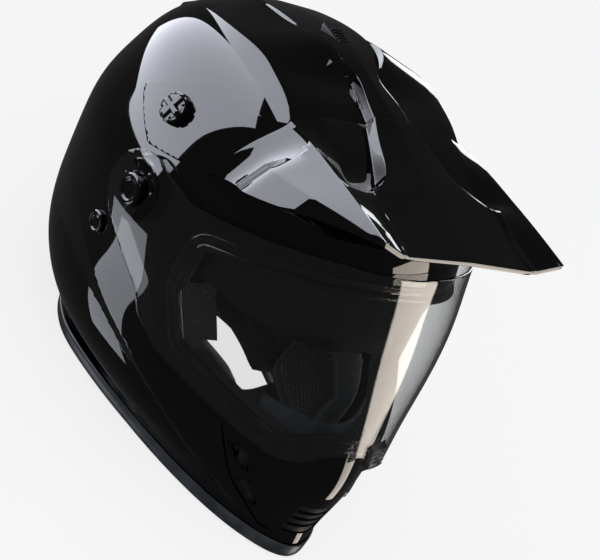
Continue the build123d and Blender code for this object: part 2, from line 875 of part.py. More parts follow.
def make_crown():
    outside = Solid.make_loft([crown_section(shares, 0) for shares in crown_shares], ruled=True)
    inside = Solid.make_loft([crown_section(shares, crown_wall) for shares in crown_shares], ruled=True)
    reach = crown_shares[0][0] * crown_reach - crown_wall
    tail = crown_shares[-1][0] * crown_reach + crown_wall
    inside &= ahead_of(tail)
    inside &= behind(reach)
    crown = outside - inside - form(seat_gap)
    outline = [(forward * peak_front, up * peak_height) for forward, up in ear_shares]
    arms = between(peak_gap + peak_thickness + ear_cut_gap, 0) & side_prism(outline)
    middle = block((0, 0, peak_height), (2 * (ear_inner - ear_cut_gap), 4 * peak_front, shell_height))
    crown -= arms - middle
    floor = slider_up - slider_seat
    crown += slider_track(floor - slider_bed, floor, slider_slot_margin + crown_wall)
    crown -= slider_track(floor, floor + overrun, slider_slot_margin)
    port = (0, slider_forward + (slider_length - slider_travel) / 2, floor)
    crown -= block(port, (slider_width / 2, slider_travel, overrun))
    return max(crown.solids(), key=lambda solid: solid.volume)


def make_grille(side):
    """A chin vent: a plate in its window with two slots and a slanting fin."""
    plate = between(grille_proud, grille_proud - grille_depth) & chin_window(-grille_gap)
    for forward, up in grille_slot_places:
        slot = [
            (forward - grille_slot_width / 2, up),
            (forward + grille_slot_width / 2, up),
            (forward + grille_slot_width / 2 - grille_slot_lean, up + grille_slot_height),
            (forward - grille_slot_width / 2 - grille_slot_lean, up + grille_slot_height),
        ]
        plate -= side_prism(slot)
    low = grille_slot_places[1][1] + grille_slot_height
    fin = [
        (chin_vent_rear, low + grille_fin_rise),
        (chin_vent_tip, low),
        (chin_vent_tip, low + grille_fin_thickness),
        (chin_vent_rear, low + grille_fin_rise + grille_fin_thickness),
    ]
    blade = between(grille_fin_proud, grille_proud - grille_depth) & side_prism(fin)
    plate += blade & chin_window(-grille_gap)
    return max((plate & one_side(side)).solids(), key=lambda solid: solid.volume)


def make_mouth_grille():
    plate = between(grille_proud, grille_proud - grille_depth) & mouth_window(-grille_gap)
    for slat in range(mouth_slat_count):
        up = mouth_bottom + (slat + 1) * (mouth_top - mouth_bottom) / (mouth_slat_count + 1)
        size = (2 * mouth_half_width - mouth_slat_gap, 2 * mouth_slot_reach, mouth_slat_gap)
        plate -= block((0, chin_reach, up), size)
    return max((plate & ahead_of(0)).solids(), key=lambda solid: solid.volume)


def make_shutter():
    """The plate that slides up behind the mouth vent, with slots that meet the vent's."""
    row = level_shares[1]
    outside = Face(level(row, -shell_wall - shutter_gap))
    inside = Face(level(row, -shell_wall - shutter_gap - shutter_thickness))
    middle = (mouth_top + mouth_bottom) / 2
    crescent = extrude(outside - inside, amount=shell_height, both=True)
    plate = crescent & block((0, chin_reach, middle), (2 * shutter_half_width, chin_reach, shutter_height))
    for slat in range(mouth_slat_count):
        up = mouth_bottom + (slat + 1) * (mouth_top - mouth_bottom) / (mouth_slat_count + 1)
        size = (2 * mouth_half_width - mouth_slat_gap, chin_reach, mouth_slat_gap)
        plate -= block((0, chin_reach, up), size)
    return plate


def make_slider():
    """The thumb slide of the top vent, in its track on the housing."""
    place = (0, slider_forward, slider_up + slider_height / 2)
    body = block(place, (slider_width, slider_length, slider_height))
    body = fillet(body.edges().filter_by(Axis.Z), slider_width / 4)
    for rib in range(slider_rib_count):
        forward = slider_forward + (rib - (slider_rib_count - 1) / 2) * 3 * slider_rib
        top = (0, forward, slider_up + slider_height)
        body += block(top, (slider_width * 2 / 3, slider_rib, 2 * slider_rib))
    return body


def slider_track(low, high, margin):
    """The room that the slider of the top vent takes over its travel, between two heights."""
    long = slider_length + slider_travel + 2 * margin
    centre = (0, slider_forward - slider_travel / 2, (low + high) / 2)
    return block(centre, (slider_width + 2 * margin, long, high - low))


def make_rear_vent():
    """The exhaust vent over the opening in the back of the shell."""
    cover = between(rear_vent_proud, -shell_wall) & rear_vent_window(-grille_gap)
    pitch = 2 * rear_vent_half_width / rear_vent_slot_count
    for slot in range(rear_vent_slot_count):
        across = (slot - (rear_vent_slot_count - 1) / 2) * pitch
        size = (pitch / 2, 4 * overrun, rear_vent_height / 2)
        cover -= block((across, -nape_reach, rear_vent_centre), size)
    return max((cover & behind(0)).solids(), key=lambda solid: solid.volume)


def make_anchor(side):
    """The steel plate, with its rivet, that holds a strap to the shell."""
    plate = between(-shell_wall - seat_gap, -shell_wall - seat_gap - anchor_thickness)
    centre = (side * shell_half_width, strap_forward, strap_anchor_up)
    plate &= block(centre, (shell_half_width, strap_width, anchor_height))
    plane = skin(side, strap_forward, strap_anchor_up, -shell_wall - seat_gap - anchor_thickness)
    head = Cylinder(rivet_radius, 2 * rivet_height)
    rivet = (plane.location * head) & form(-shell_wall - seat_gap)
    return plate + rivet


def make_strap(side):
    """One chin strap, lying in the neck opening, with the loop for the rings on the left one."""
    wall_inside = -shell_wall - seat_gap - anchor_thickness - rivet_height - strap_thickness - seat_gap
    start = skin(side, strap_forward, strap_anchor_up, wall_inside).origin
    end = strap_left_end if side > 0 else -strap_right_end
    points = [
        start,
        at(start.X - side * strap_turn, strap_forward, strap_low),
        at(side * end, strap_forward, strap_end_up),
    ]
    path = FilletPolyline(*points, radius=strap_bend)
    section = Plane(origin=path @ 0, x_dir=(0, 1, 0), z_dir=path % 0) * Rectangle(strap_width, strap_thickness)
    strap = sweep(section, path=path)
    if side > 0:
        strap += ring_bore(loop_wall, strap_width)
        strap -= ring_bore(0, 2 * strap_width)
    return strap


def ring_bore(spare, length):
    """The round room that the two rings take in the loop, made larger by spare."""
    radius = 2 * ring_wire + ring_gap / 2 + loop_gap + spare
    centre = at(strap_left_end - 2 * ring_wire, strap_forward, strap_end_up)
    return Pos(centre) * Rot(90, 0, 0) * Cylinder(radius, length)


def make_rings():
    """The two steel D rings, one above the other, with their bars in the loop of the strap."""
    rings = []
    bar_across = strap_left_end - 2 * ring_wire
    for rise in (-1, 1):
        up = strap_end_up + rise * (ring_wire + ring_gap / 2)
        start = at(bar_across, strap_forward - ring_half_width, up)
        end = at(bar_across, strap_forward + ring_half_width, up)
        far = at(bar_across - ring_reach, strap_forward, up)
        path = Wire([Line(start, end), ThreePointArc(end, far, start)])
        section = Plane(origin=path @ 0, z_dir=path % 0) * Circle(ring_wire)
        rings.append(sweep(section, path=path, transition=Transition.RIGHT))
    return Compound(children=rings)


pieces = {
    "outer_shell": make_shell,
    "mouth_vent_grille": make_mouth_grille,
    "mouth_vent_shutter": make_shutter,
    "top_vent_slider": make_slider,
    "rear_vent": make_rear_vent,
    "edge_trim": make_trim,
    "eyeport_gasket": make_gasket,
    "eps_liner": make_eps,
    "chin_bar_eps": make_chin_eps,
    "comfort_liner": make_lining,
    "neck_roll": make_neck_roll,
    "breath_guard": make_breath_guard,
    "chin_curtain": make_chin_curtain,
    "face_shield": make_shield,
    "sun_visor": make_sun_visor,
    "sun_visor_lever": make_lever,
    "peak": make_peak,
    "top_vent_housing": make_crown,
    "d_rings": make_rings,
}
sided_pieces = {
    "cheek_pad": make_cheek_pad,
    "pivot_plate": make_pivot_plate,
    "pivot_cap": make_pivot_cap,
    "visor_pin": visor_pin,
    "peak_knob": make_knob,
    "side_screw": make_side_screw,
    "chin_vent": make_grille,
    "chin_strap": make_strap,
    "strap_anchor": make_anchor,
}
for name, make in pieces.items():
    save(name, make())
for name, make in sided_pieces.items():
    for side, word in ((1, "left"), (-1, "right")):
        save(f"{name}_{word}", make(side))
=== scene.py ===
import math

import bmesh
import bpy
import numpy as np
from mathutils import Matrix, Vector
from mathutils.bvhtree import BVHTree


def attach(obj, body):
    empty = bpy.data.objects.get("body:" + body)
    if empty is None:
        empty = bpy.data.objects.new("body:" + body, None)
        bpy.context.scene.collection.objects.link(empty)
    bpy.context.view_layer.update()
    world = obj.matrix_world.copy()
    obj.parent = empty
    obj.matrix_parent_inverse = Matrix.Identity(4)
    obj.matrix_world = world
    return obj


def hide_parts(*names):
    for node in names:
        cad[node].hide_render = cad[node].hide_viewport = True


# Dual sport helmet. Places are (across, forward, up) in millimetres and are turned to metres in
# place(); the helmet faces -Y and +X is the wearer's left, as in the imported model.
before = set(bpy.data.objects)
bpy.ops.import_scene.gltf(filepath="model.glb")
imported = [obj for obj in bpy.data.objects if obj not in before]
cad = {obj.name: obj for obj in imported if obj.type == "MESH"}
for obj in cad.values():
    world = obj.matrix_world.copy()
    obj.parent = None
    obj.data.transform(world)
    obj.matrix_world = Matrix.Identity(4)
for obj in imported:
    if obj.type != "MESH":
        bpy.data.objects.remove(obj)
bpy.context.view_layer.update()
mm = 0.001
print("frame loaded:", len(cad), "CAD nodes")


sides = ((1, "left"), (-1, "right"))


def place(across, forward, up):
    return Vector((across * mm, -forward * mm, up * mm))


# How far along a ramp from 0 to 1 a value is, held at both ends
def ramp(value, length):
    return min(1, max(0, value / length))


# Colours are written as sRGB hex and turned to linear here
def linear(text):
    parts = [int(text[i:i + 2], 16) / 255 for i in (1, 3, 5)]
    return tuple(c / 12.92 if c <= 0.04045 else ((c + 0.055) / 1.055) ** 2.4 for c in parts) + (1,)


# Adds one node: inputs take values, other nodes' outputs, or a node that stands for its first output; stops are a
# colour ramp's (position, colour)
def addNode(tree, kind, inputs=None, stops=None, **settings):
    node = tree.nodes.new(kind)
    for name, value in settings.items():
        setattr(node, name, value)
    for name, value in (inputs or {}).items():
        socket = node.inputs[name]
        if isinstance(value, bpy.types.Node):
            value = value.outputs[0]
        if isinstance(value, bpy.types.NodeSocket):
            tree.links.new(value, socket)
        else:
            socket.default_value = value
    if stops:
        for element, (position, colour) in zip(node.color_ramp.elements, stops):
            element.position = position
            element.color = linear(colour)
    return node


def newMaterial(name):
    material = bpy.data.materials.new(name)
    material.use_nodes = True
    material.node_tree.nodes.clear()
    return material, material.node_tree


# The same, with the object coordinates that nearly all finishes are laid out in
def startFinish(name):
    material, tree = newMaterial(name)
    return material, tree, addNode(tree, "ShaderNodeTexCoord").outputs["Object"]


def closeMaterial(tree, inputs):
    shader = addNode(tree, "ShaderNodeBsdfPrincipled", inputs)
    addNode(tree, "ShaderNodeOutputMaterial", {"Surface": shader.outputs["BSDF"]})


# A clear part: glass to the eye, and open to lamps and to light from matt surfaces, as thin sheet is
def closeClear(tree, inputs, passes):
    shader = addNode(tree, "ShaderNodeBsdfPrincipled", inputs)
    path = addNode(tree, "ShaderNodeLightPath").outputs
    lit = addNode(tree, "ShaderNodeMath", {0: path["Is Shadow Ray"], 1: path["Is Diffuse Ray"]}, operation="MAXIMUM")
    passing = addNode(tree, "ShaderNodeBsdfTransparent", {"Color": linear(passes)})
    both = addNode(tree, "ShaderNodeMixShader", {0: lit, 1: shader, 2: passing})
    addNode(tree, "ShaderNodeOutputMaterial", {"Surface": both})


# Moulded ABS under clear lacquer: a deep black with a mirror-like skin and the faintest orange peel
def lacqueredAbs(name, colour="#050506"):
    material, tree, spot = startFinish(name)
    peel = addNode(tree, "ShaderNodeTexNoise", {"Vector": spot, "Scale": 1 / (6 * mm), "Detail": 1.0})
    haze = addNode(tree, "ShaderNodeTexNoise", {"Vector": spot, "Scale": 1 / (30 * mm), "Detail": 3.0})
    rough = addNode(tree, "ShaderNodeMapRange", {
        "Value": haze.outputs["Fac"], "From Min": 0.35, "From Max": 0.7, "To Min": 0.015, "To Max": 0.045})
    skin = addNode(tree, "ShaderNodeBump", {"Height": peel.outputs["Fac"], "Distance": 0.003 * mm})
    closeMaterial(tree, {
        "Base Color": linear(colour), "Roughness": rough.outputs["Result"], "IOR": 1.5,
        "Coat Weight": 0.3, "Coat Roughness": 0.01, "Normal": skin})
    return material


# Nylon moulded against a spark-eroded tool, so it has a fine even grain and a dull sheen
def grainedNylon(name, colour="#0c0c0e", light="#161619", rough=0.42):
    material, tree, spot = startFinish(name)
    pits = addNode(tree, "ShaderNodeTexVoronoi", {"Vector": spot, "Scale": 1 / (0.7 * mm)})
    cloud = addNode(tree, "ShaderNodeTexNoise", {"Vector": spot, "Scale": 1 / (9 * mm), "Detail": 4.0})
    tone = addNode(tree, "ShaderNodeValToRGB", {"Fac": cloud.outputs["Fac"]}, stops=[(0.35, colour), (0.7, light)])
    skin = addNode(tree, "ShaderNodeBump", {
        "Height": pits.outputs["Distance"], "Distance": 0.05 * mm, "Strength": 0.6})
    closeMaterial(tree, {"Base Color": tone, "Roughness": rough, "Normal": skin})
    return material


# Extruded EPDM rubber: dark grey-black, softly shining, with a dusty bloom in patches
def extrudedRubber(name, colour="#24282d", light="#3d4248", rough=0.32):
    material, tree, spot = startFinish(name)
    bloom = addNode(tree, "ShaderNodeTexNoise", {"Vector": spot, "Scale": 1 / (14 * mm), "Detail": 5.0})
    tone = addNode(tree, "ShaderNodeValToRGB", {"Fac": bloom.outputs["Fac"]}, stops=[(0.35, colour), (0.75, light)])
    fine = addNode(tree, "ShaderNodeTexNoise", {"Vector": spot, "Scale": 1 / (0.5 * mm), "Detail": 2.0})
    skin = addNode(tree, "ShaderNodeBump", {"Height": fine.outputs["Fac"], "Distance": 0.03 * mm, "Strength": 0.5})
    closeMaterial(tree, {"Base Color": tone, "Roughness": rough, "Normal": skin})
    return material


# Clear polycarbonate, injection moulded and hard coated: nearly colourless, with a high gloss
def clearPolycarbonate(name, tint="#e9eaea"):
    material, tree, spot = startFinish(name)
    wave = addNode(tree, "ShaderNodeTexNoise", {"Vector": spot, "Scale": 1 / (60 * mm), "Detail": 1.0})
    skin = addNode(tree, "ShaderNodeBump", {"Height": wave.outputs["Fac"], "Distance": 0.02 * mm})
    closeClear(tree, {
        "Base Color": linear(tint), "Roughness": 0.0, "IOR": 1.58, "Transmission Weight": 1.0,
        "Normal": skin}, tint)
    return material


# Smoke-dyed polycarbonate: the same gloss, but it lets only a part of the light through
def smokedPolycarbonate(name, tint="#3b3d40"):
    material, tree, spot = startFinish(name)
    cloud = addNode(tree, "ShaderNodeTexNoise", {"Vector": spot, "Scale": 1 / (45 * mm), "Detail": 1.0})
    tone = addNode(tree, "ShaderNodeValToRGB", {"Fac": cloud.outputs["Fac"]}, stops=[(0.2, tint), (0.8, "#45474b")])
    closeClear(tree, {
        "Base Color": tone, "Roughness": 0.01, "IOR": 1.58, "Transmission Weight": 0.92}, tint)
    return material


# Moulded polystyrene foam: fused beads about 4 mm wide, matt, with dark seams between them
def beadFoam(name, colour="#141416", light="#232326"):
    material, tree, spot = startFinish(name)
    beads = addNode(tree, "ShaderNodeTexVoronoi", {"Vector": spot, "Scale": 1 / (4 * mm)}, feature="F1")
    tone = addNode(tree, "ShaderNodeValToRGB", {"Fac": beads.outputs["Distance"]},
                   stops=[(0.1, light), (0.6, colour)])
    skin = addNode(tree, "ShaderNodeBump", {
        "Height": beads.outputs["Distance"], "Distance": 0.5 * mm, "Strength": 0.8}, invert=True)
    closeMaterial(tree, {"Base Color": tone, "Roughness": 0.75, "Normal": skin})
    return material


# Warp-knitted spacer mesh: open holes at a pitch of `pitch` mm in rows, coloured near black as painted shade inside
# them, with a soft thread sheen
def spacerMesh(name, colour="#1b1b1d", hole="#020202", pitch=3.2):
    material, tree, spot = startFinish(name)
    turned = addNode(tree, "ShaderNodeMapping", {"Vector": spot, "Rotation": (0.6, 0.35, 0.785)})
    cells = addNode(tree, "ShaderNodeTexVoronoi", {
        "Vector": turned.outputs["Vector"], "Scale": 1 / (pitch * mm), "Randomness": 0.12})
    # Painted shade: the holes get a near-black colour for the shade that falls inside them
    tone = addNode(tree, "ShaderNodeValToRGB", {"Fac": cells.outputs["Distance"]},
                   stops=[(0.30, hole), (0.42, colour)])
    skin = addNode(tree, "ShaderNodeBump", {
        "Height": cells.outputs["Distance"], "Distance": 1.2 * mm, "Strength": 1.0})
    closeMaterial(tree, {
        "Base Color": tone, "Roughness": 0.8, "Sheen Weight": 0.4, "Sheen Roughness": 0.4,
        "Normal": skin})
    return material


# Brushed polyester jersey: close knitting that wicks, dull and slightly blue
def brushedJersey(name, colour="#14181d", light="#242b33"):
    material, tree, spot = startFinish(name)
    knit = addNode(tree, "ShaderNodeTexWave", {
        "Vector": spot, "Scale": 1 / (3.4 * mm), "Distortion": 3.0, "Detail": 2.0, "Detail Scale": 3.0})
    pile = addNode(tree, "ShaderNodeTexNoise", {"Vector": spot, "Scale": 1 / (1.1 * mm), "Detail": 4.0})
    tone = addNode(tree, "ShaderNodeValToRGB", {"Fac": pile.outputs["Fac"]}, stops=[(0.3, colour), (0.75, light)])
    skin = addNode(tree, "ShaderNodeBump", {"Height": knit.outputs["Fac"], "Distance": 0.25 * mm, "Strength": 0.7})
    closeMaterial(tree, {
        "Base Color": tone, "Roughness": 0.85, "Sheen Weight": 0.5, "Sheen Roughness": 0.5,
        "Normal": skin})
    return material


# Woven polyester webbing: ribs across the strap at the pitch of the weft, from the strap's own UV map
def wovenWebbing(name, colour="#0b0b0c", light="#1f2022"):
    material, tree = newMaterial(name)
    along = addNode(tree, "ShaderNodeTexCoord").outputs["UV"]
    weft = addNode(tree, "ShaderNodeTexWave", {
        "Vector": along, "Scale": 0.5 / 1.6, "Distortion": 0.3}, bands_direction="Y")
    warp = addNode(tree, "ShaderNodeTexWave", {"Vector": along, "Scale": 0.5 / 1.1}, bands_direction="X")
    both = addNode(tree, "ShaderNodeMath", {0: weft.outputs["Fac"], 1: warp.outputs["Fac"]}, operation="MULTIPLY")
    tone = addNode(tree, "ShaderNodeValToRGB", {"Fac": both.outputs["Value"]}, stops=[(0.1, colour), (0.9, light)])
    skin = addNode(tree, "ShaderNodeBump", {"Height": both.outputs["Value"], "Distance": 0.3 * mm})
    closeMaterial(tree, {
        "Base Color": tone, "Roughness": 0.7, "Sheen Weight": 0.3, "Normal": skin})
    return material


# Drawn steel, barrel polished: bright, with soft scratches from the tumbling
def polishedSteel(name, colour="#c9cacc"):
    material, tree, spot = startFinish(name)
    scratch = addNode(tree, "ShaderNodeTexNoise", {"Vector": spot, "Scale": 1 / (2 * mm), "Detail": 8.0})
    rough = addNode(tree, "ShaderNodeMapRange", {"Value": scratch.outputs["Fac"], "To Min": 0.12, "To Max": 0.32})
    closeMaterial(tree, {"Base Color": linear(colour), "Metallic": 1.0, "Roughness": rough.outputs["Result"]})
    return material


finish = {
    "gloss": lacqueredAbs("lacquered_abs"),
    "nylon": grainedNylon("grained_nylon"),
    "rubber": extrudedRubber("extruded_rubber"),
    "seal": extrudedRubber("moulded_seal_rubber", "#08080a", "#131417", 0.2),
    "clear": clearPolycarbonate("clear_polycarbonate"),
    "smoke": smokedPolycarbonate("smoked_polycarbonate"),
    "foam": beadFoam("polystyrene_bead_foam"),
    "mesh": spacerMesh("knitted_spacer_mesh"),
    "jersey": brushedJersey("brushed_jersey"),
    "webbing": wovenWebbing("woven_webbing"),
    "steel": polishedSteel("polished_steel"),
    "thread": brushedJersey("bonded_nylon_thread", "#2a2b2e", "#44464a"),
}
print("finishes made:", len(finish))

# The outer form of the shell, the same rule as in the CAD: rows are height, half width, front reach,
# rear reach, widest place and how pointed the front is, as shares of the sizes
form = {"halfWidth": 127, "height": 256, "chinReach": 189, "napeReach": 164, "rimDrop": 7, "start": -20,
        "liftStart": 150, "rearRoundness": 2.25, "smallestCap": 20, "pointsAround": 24}
levelShares = [
    (0.000, 0.650, 0.950, 0.549, -0.061, 1.72),
    (0.078, 0.790, 0.942, 0.744, -0.061, 1.72),
    (0.156, 0.885, 0.955, 0.872, -0.061, 1.66),
    (0.234, 0.926, 0.955, 0.933, -0.061, 1.64),
    (0.352, 0.957, 0.900, 0.976, -0.061, 1.72),
    (0.469, 0.990, 0.826, 0.994, -0.061, 1.90),
    (0.586, 1.002, 0.750, 1.000, -0.061, 2.04),
    (0.703, 0.958, 0.675, 0.963, -0.061, 2.10),
    (0.820, 0.882, 0.587, 0.890, -0.091, 2.25),
    (0.910, 0.740, 0.450, 0.756, -0.122, 2.25),
    (0.965, 0.530, 0.265, 0.561, -0.122, 2.25),
    (1.000, 0.299, 0.127, 0.402, -0.128, 2.25),
]


# Rows of weights that turn the values at the knots into a cubic spline's values, open or in a ring
def splineWeights(knots, where, ring=False):
    gap = np.diff(knots)
    count = len(gap) if ring else len(knots)
    bend, pull = np.zeros((count, count)), np.zeros((count, count))
    for i in range(count):
        if not ring and i in (0, count - 1):
            bend[i, i] = 1
            continue
        before, after, following = gap[i - 1], gap[i], (i + 1) % count
        bend[i, i - 1], bend[i, i], bend[i, following] = before, 2 * (before + after), after
        pull[i, i - 1] += 6 / before
        pull[i, i] -= 6 / before + 6 / after
        pull[i, following] += 6 / after
    second = np.linalg.solve(bend, pull)
    unit = np.eye(count)
    k = np.clip(np.searchsorted(knots, where, side="right") - 1, 0, len(gap) - 1)
    m = (k + 1) % count
    t, g = where - knots[k], gap[k]
    r = g - t
    return (unit[k] * (r / g)[:, None] + unit[m] * (t / g)[:, None]
            + second[k] * ((r ** 3 / g - g * r) / 6)[:, None] + second[m] * ((t ** 3 / g - g * t) / 6)[:, None])


# Rows and columns of the grids on the form, for each piece cut out of it
fineness = {"shell": (128, 340), "shield": (150, 380), "arms": (170, 420), "vent": (200, 520), "lines": (150, 400),
            "rim": (260, 480), "curtain": (160, 360)}


# A grid of points in millimetres on the form grown by `grow`, in rows from the rim up
def formGrid(grow, rows, columns):
    net = []
    for height, width, front, rear, middle, point in levelShares:
        if width * form["halfWidth"] + grow <= form["smallestCap"]:
            continue
        up = height * form["height"]
        lift = max(0, (up - form["liftStart"]) / (form["height"] - form["liftStart"]))
        half = width * form["halfWidth"] + grow
        mid = middle * form["napeReach"]
        ahead, behind = front * form["chinReach"] + grow - mid, rear * form["napeReach"] + grow + mid
        ring = []
        for step in range(form["pointsAround"]):
            turn = math.pi + 2 * math.pi * step / form["pointsAround"]
            side, along = math.sin(turn), math.cos(turn)
            power = 2 / (point if along > 0 else form["rearRoundness"])
            reach = ahead if along > 0 else behind
            ring.append((half * math.copysign(abs(side) ** power, side),
                         -mid - reach * math.copysign(abs(along) ** power, along),
                         up + lift * grow + form["rimDrop"]))
        net.append(ring)
    low = [(x, y, form["start"] + form["rimDrop"]) for x, y, _ in net[0]]
    net = np.array([low] + net)
    spans = np.linalg.norm(np.diff(net, axis=0), axis=2).mean(1)
    heights = np.concatenate([[0], np.cumsum(spans)]) / spans.sum()
    closed = np.concatenate([net, net[:, :1]], axis=1)
    spans = np.linalg.norm(np.diff(closed, axis=1), axis=2).mean(0)
    around = np.concatenate([[0], np.cumsum(spans)]) / spans.sum()
    down = splineWeights(heights, np.linspace(0, 1, rows))
    across = splineWeights(around, np.arange(columns) / columns, ring=True)
    return np.einsum("ra,abc,kb->rkc", down, net, across)


def meshFrom(name, points, faces, material, smooth=True):
    mesh = bpy.data.meshes.new(name)
    mesh.from_pydata([tuple(p) for p in points], [], [tuple(f) for f in faces])
    mesh.validate()
    return pieceFrom(name, mesh, material, smooth)


def pieceFrom(name, mesh, material, smooth=True):
    piece = bpy.data.objects.new(name, mesh)
    bpy.context.scene.collection.objects.link(piece)
    mesh.materials.clear()
    mesh.materials.append(finish[material])
    if smooth:
        mesh.shade_smooth()
    return piece


# Turns what an object's modifiers give into its plain mesh
def bake(piece):
    bpy.context.view_layer.update()
    made = bpy.data.meshes.new_from_object(piece.evaluated_get(bpy.context.evaluated_depsgraph_get()))
    piece.modifiers.clear()
    piece.data = made
    return piece


def sharpen(piece, degrees=32):
    piece.data.set_sharp_from_angle(angle=math.radians(degrees))
    return piece


# Hands a finished piece over: attaches it to the body it rides on and hides the CAD nodes it stands for; the slot is
# not used
def handOver(piece, body, slot, *stoodFor):
    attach(piece, body)
    if stoodFor:
        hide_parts(*stoodFor)
    return piece


# An outline with its corners rounded off by `radius`
def roundOff(points, radius, steps=6):
    made = []
    for i, corner in enumerate(points):
        corner, last, following = Vector(corner), Vector(points[i - 1]), Vector(points[(i + 1) % len(points)])
        back, on = last - corner, following - corner
        cut = min(radius / math.tan(max(back.angle(on), 0.05) / 2), 0.48 * back.length, 0.48 * on.length)
        start, end = corner + back.normalized() * cut, corner + on.normalized() * cut
        for s in range(steps + 1):
            t = s / steps
            made.append((1 - t) ** 2 * start + 2 * t * (1 - t) * corner + t * t * end)
    return np.array([tuple(p) for p in made])


# The signed distance to an outline in side view, as a function of (forward, up): positive outside
def distanceTo(outline):
    a, b = outline, np.roll(outline, -1, axis=0)
    run = b - a

    def field(forward, up):
        p = np.stack([forward, up], 1)[:, None, :]
        t = np.clip(((p - a) * run).sum(2) / np.maximum((run ** 2).sum(1), 1e-12), 0, 1)
        far = np.linalg.norm(p - (a + t[..., None] * run), axis=2).min(1)
        fall = np.where(np.abs(run[:, 1]) < 1e-9, 1e-9, run[:, 1])
        crossed = (((a[:, 1] > up[:, None]) != (b[:, 1] > up[:, None]))
                   & (forward[:, None] < run[:, 0] * (up[:, None] - a[:, 1]) / fall + a[:, 0]))
        return np.where(crossed.sum(1) % 2 == 1, -far, far)
    return field


# Quads over a grid of points; ring joins the last column to the first
def gridFaces(rows, columns, ring=False, first=0):
    faces = []
    for r in range(rows - 1):
        for c in range(columns if ring else columns - 1):
            d = (c + 1) % columns
            faces.append((first + r * columns + c, first + r * columns + d,
                          first + (r + 1) * columns + d, first + (r + 1) * columns + c))
    return faces


def skinMesh(grow, rows, columns, capped=False):
    grid = formGrid(grow, rows, columns)
    bm = bmesh.new()
    for p in grid.reshape(-1, 3):
        bm.verts.new(p * mm)
    bm.verts.ensure_lookup_table()
    for face in gridFaces(rows, columns, ring=True):
        bm.faces.new([bm.verts[i] for i in face])
    if capped:
        top = bm.verts.new(grid[-1].mean(0) * mm)
        bm.verts.ensure_lookup_table()
        last = (rows - 1) * columns
        for c in range(columns):
            bm.faces.new([bm.verts[last + c], bm.verts[last + (c + 1) % columns], top])
    bmesh.ops.recalc_face_normals(bm, faces=bm.faces)
    return bm


# Cuts the faces of a mesh along the line where a field is 0; drop=True deletes the positive side.
# A field is a function of arrays (across, forward, up) in mm over the rim's datum.
def cutAlong(bm, field, drop=False, crease=False):
    verts = list(bm.verts)
    spots = np.array([v.co[:] for v in verts]) / mm
    value = field(spots[:, 0], -spots[:, 1], spots[:, 2] - form["rimDrop"])
    value[np.abs(value) < 0.03] = 0
    level = dict(zip(verts, value.tolist()))
    born = []
    for edge in list(bm.edges):
        one, other = edge.verts
        a, b = level[one], level[other]
        if a * b < 0:
            _, vert = bmesh.utils.edge_split(edge, one, a / (a - b))
            level[vert] = 0.0
            born.append(vert)
    bmesh.ops.connect_verts(bm, verts=born + [v for v in verts if level[v] == 0])
    if drop:
        gone = [f for f in bm.faces if sum(level[v] for v in f.verts) > 0]
        bmesh.ops.delete(bm, geom=gone, context="FACES")
    if crease:
        for edge in bm.edges:
            if level.get(edge.verts[0]) == 0 and level.get(edge.verts[1]) == 0:
                edge.smooth = False
    return bm


# Points (mm) and outward normals of a mesh that is open for changes, and the way back
def spotsAndNormals(bm):
    return np.array([v.co[:] for v in bm.verts]) / mm, np.array([v.normal[:] for v in bm.verts])


def putBack(bm, spots):
    for v, p in zip(bm.verts, spots):
        v.co = p * mm


def meshOf(bm, name):
    mesh = bpy.data.meshes.new(name)
    bm.to_mesh(mesh)
    bm.free()
    return mesh


# The closed lines on the form where a field is 0, as evenly spaced points with the form's normals
def linesOn(grow, field, spacing=2.0):
    bm = cutAlong(skinMesh(grow, *fineness["lines"]), field, drop=True)
    rims = [e for e in bm.edges if e.is_boundary]
    links = {}
    for e in rims:
        for v in e.verts:
            links.setdefault(v, []).append(e.other_vert(v))
    lines, seen = [], set()
    for start in links:
        if start in seen:
            continue
        line, at = [], start
        while at not in seen:
            seen.add(at)
            line.append((at.co / mm, at.normal.copy()))
            ahead = [v for v in links[at] if v not in seen]
            at = ahead[0] if ahead else start
        spots = np.array([p[:] for p, n in line])
        facing = np.array([n[:] for p, n in line])
        lines.append(evenly(spots, facing, spacing))
    bm.free()
    return lines


def evenly(spots, facing, spacing):
    closed = np.concatenate([spots, spots[:1]])
    normals = np.concatenate([facing, facing[:1]])
    run = np.concatenate([[0], np.cumsum(np.linalg.norm(np.diff(closed, axis=0), axis=1))])
    count = max(12, int(run[-1] / spacing))
    where = np.arange(count) / count * run[-1]
    even = np.stack([np.interp(where, run, closed[:, i]) for i in range(3)], 1)
    turned = np.stack([np.interp(where, run, normals[:, i]) for i in range(3)], 1)
    for _ in range(3):
        even = (np.roll(even, 1, 0) + 2 * even + np.roll(even, -1, 0)) / 4
        turned = (np.roll(turned, 1, 0) + 2 * turned + np.roll(turned, -1, 0)) / 4
    return even, turned / np.linalg.norm(turned, axis=1)[:, None]


# Sweeps a closed profile round a closed line; profile points are (across the line, out of the form)
def sweepRound(spots, facing, profile, inwards=1):
    along = np.roll(spots, -1, 0) - np.roll(spots, 1, 0)
    along /= np.linalg.norm(along, axis=1)[:, None]
    aside = np.cross(facing, along) * inwards
    rings = [spots + aside * a + facing * b for a, b in profile]
    points = np.stack(rings, 1).reshape(-1, 3) * mm
    count, size = len(spots), len(profile)
    faces = []
    for i in range(count):
        j = (i + 1) % count
        for k in range(size):
            m = (k + 1) % size
            faces.append((i * size + k, i * size + m, j * size + m, j * size + k))
    return points, faces


# Opens a piece's mesh for changes, makes them and puts it back
def reshape(piece, change):
    bm = bmesh.new()
    bm.from_mesh(piece.data)
    change(bm)
    bm.to_mesh(piece.data)
    bm.free()
    return piece


def closedMesh(name, points, faces, material):
    piece = meshFrom(name, points, faces, material)
    return reshape(piece, lambda bm: bmesh.ops.recalc_face_normals(bm, faces=bm.faces))


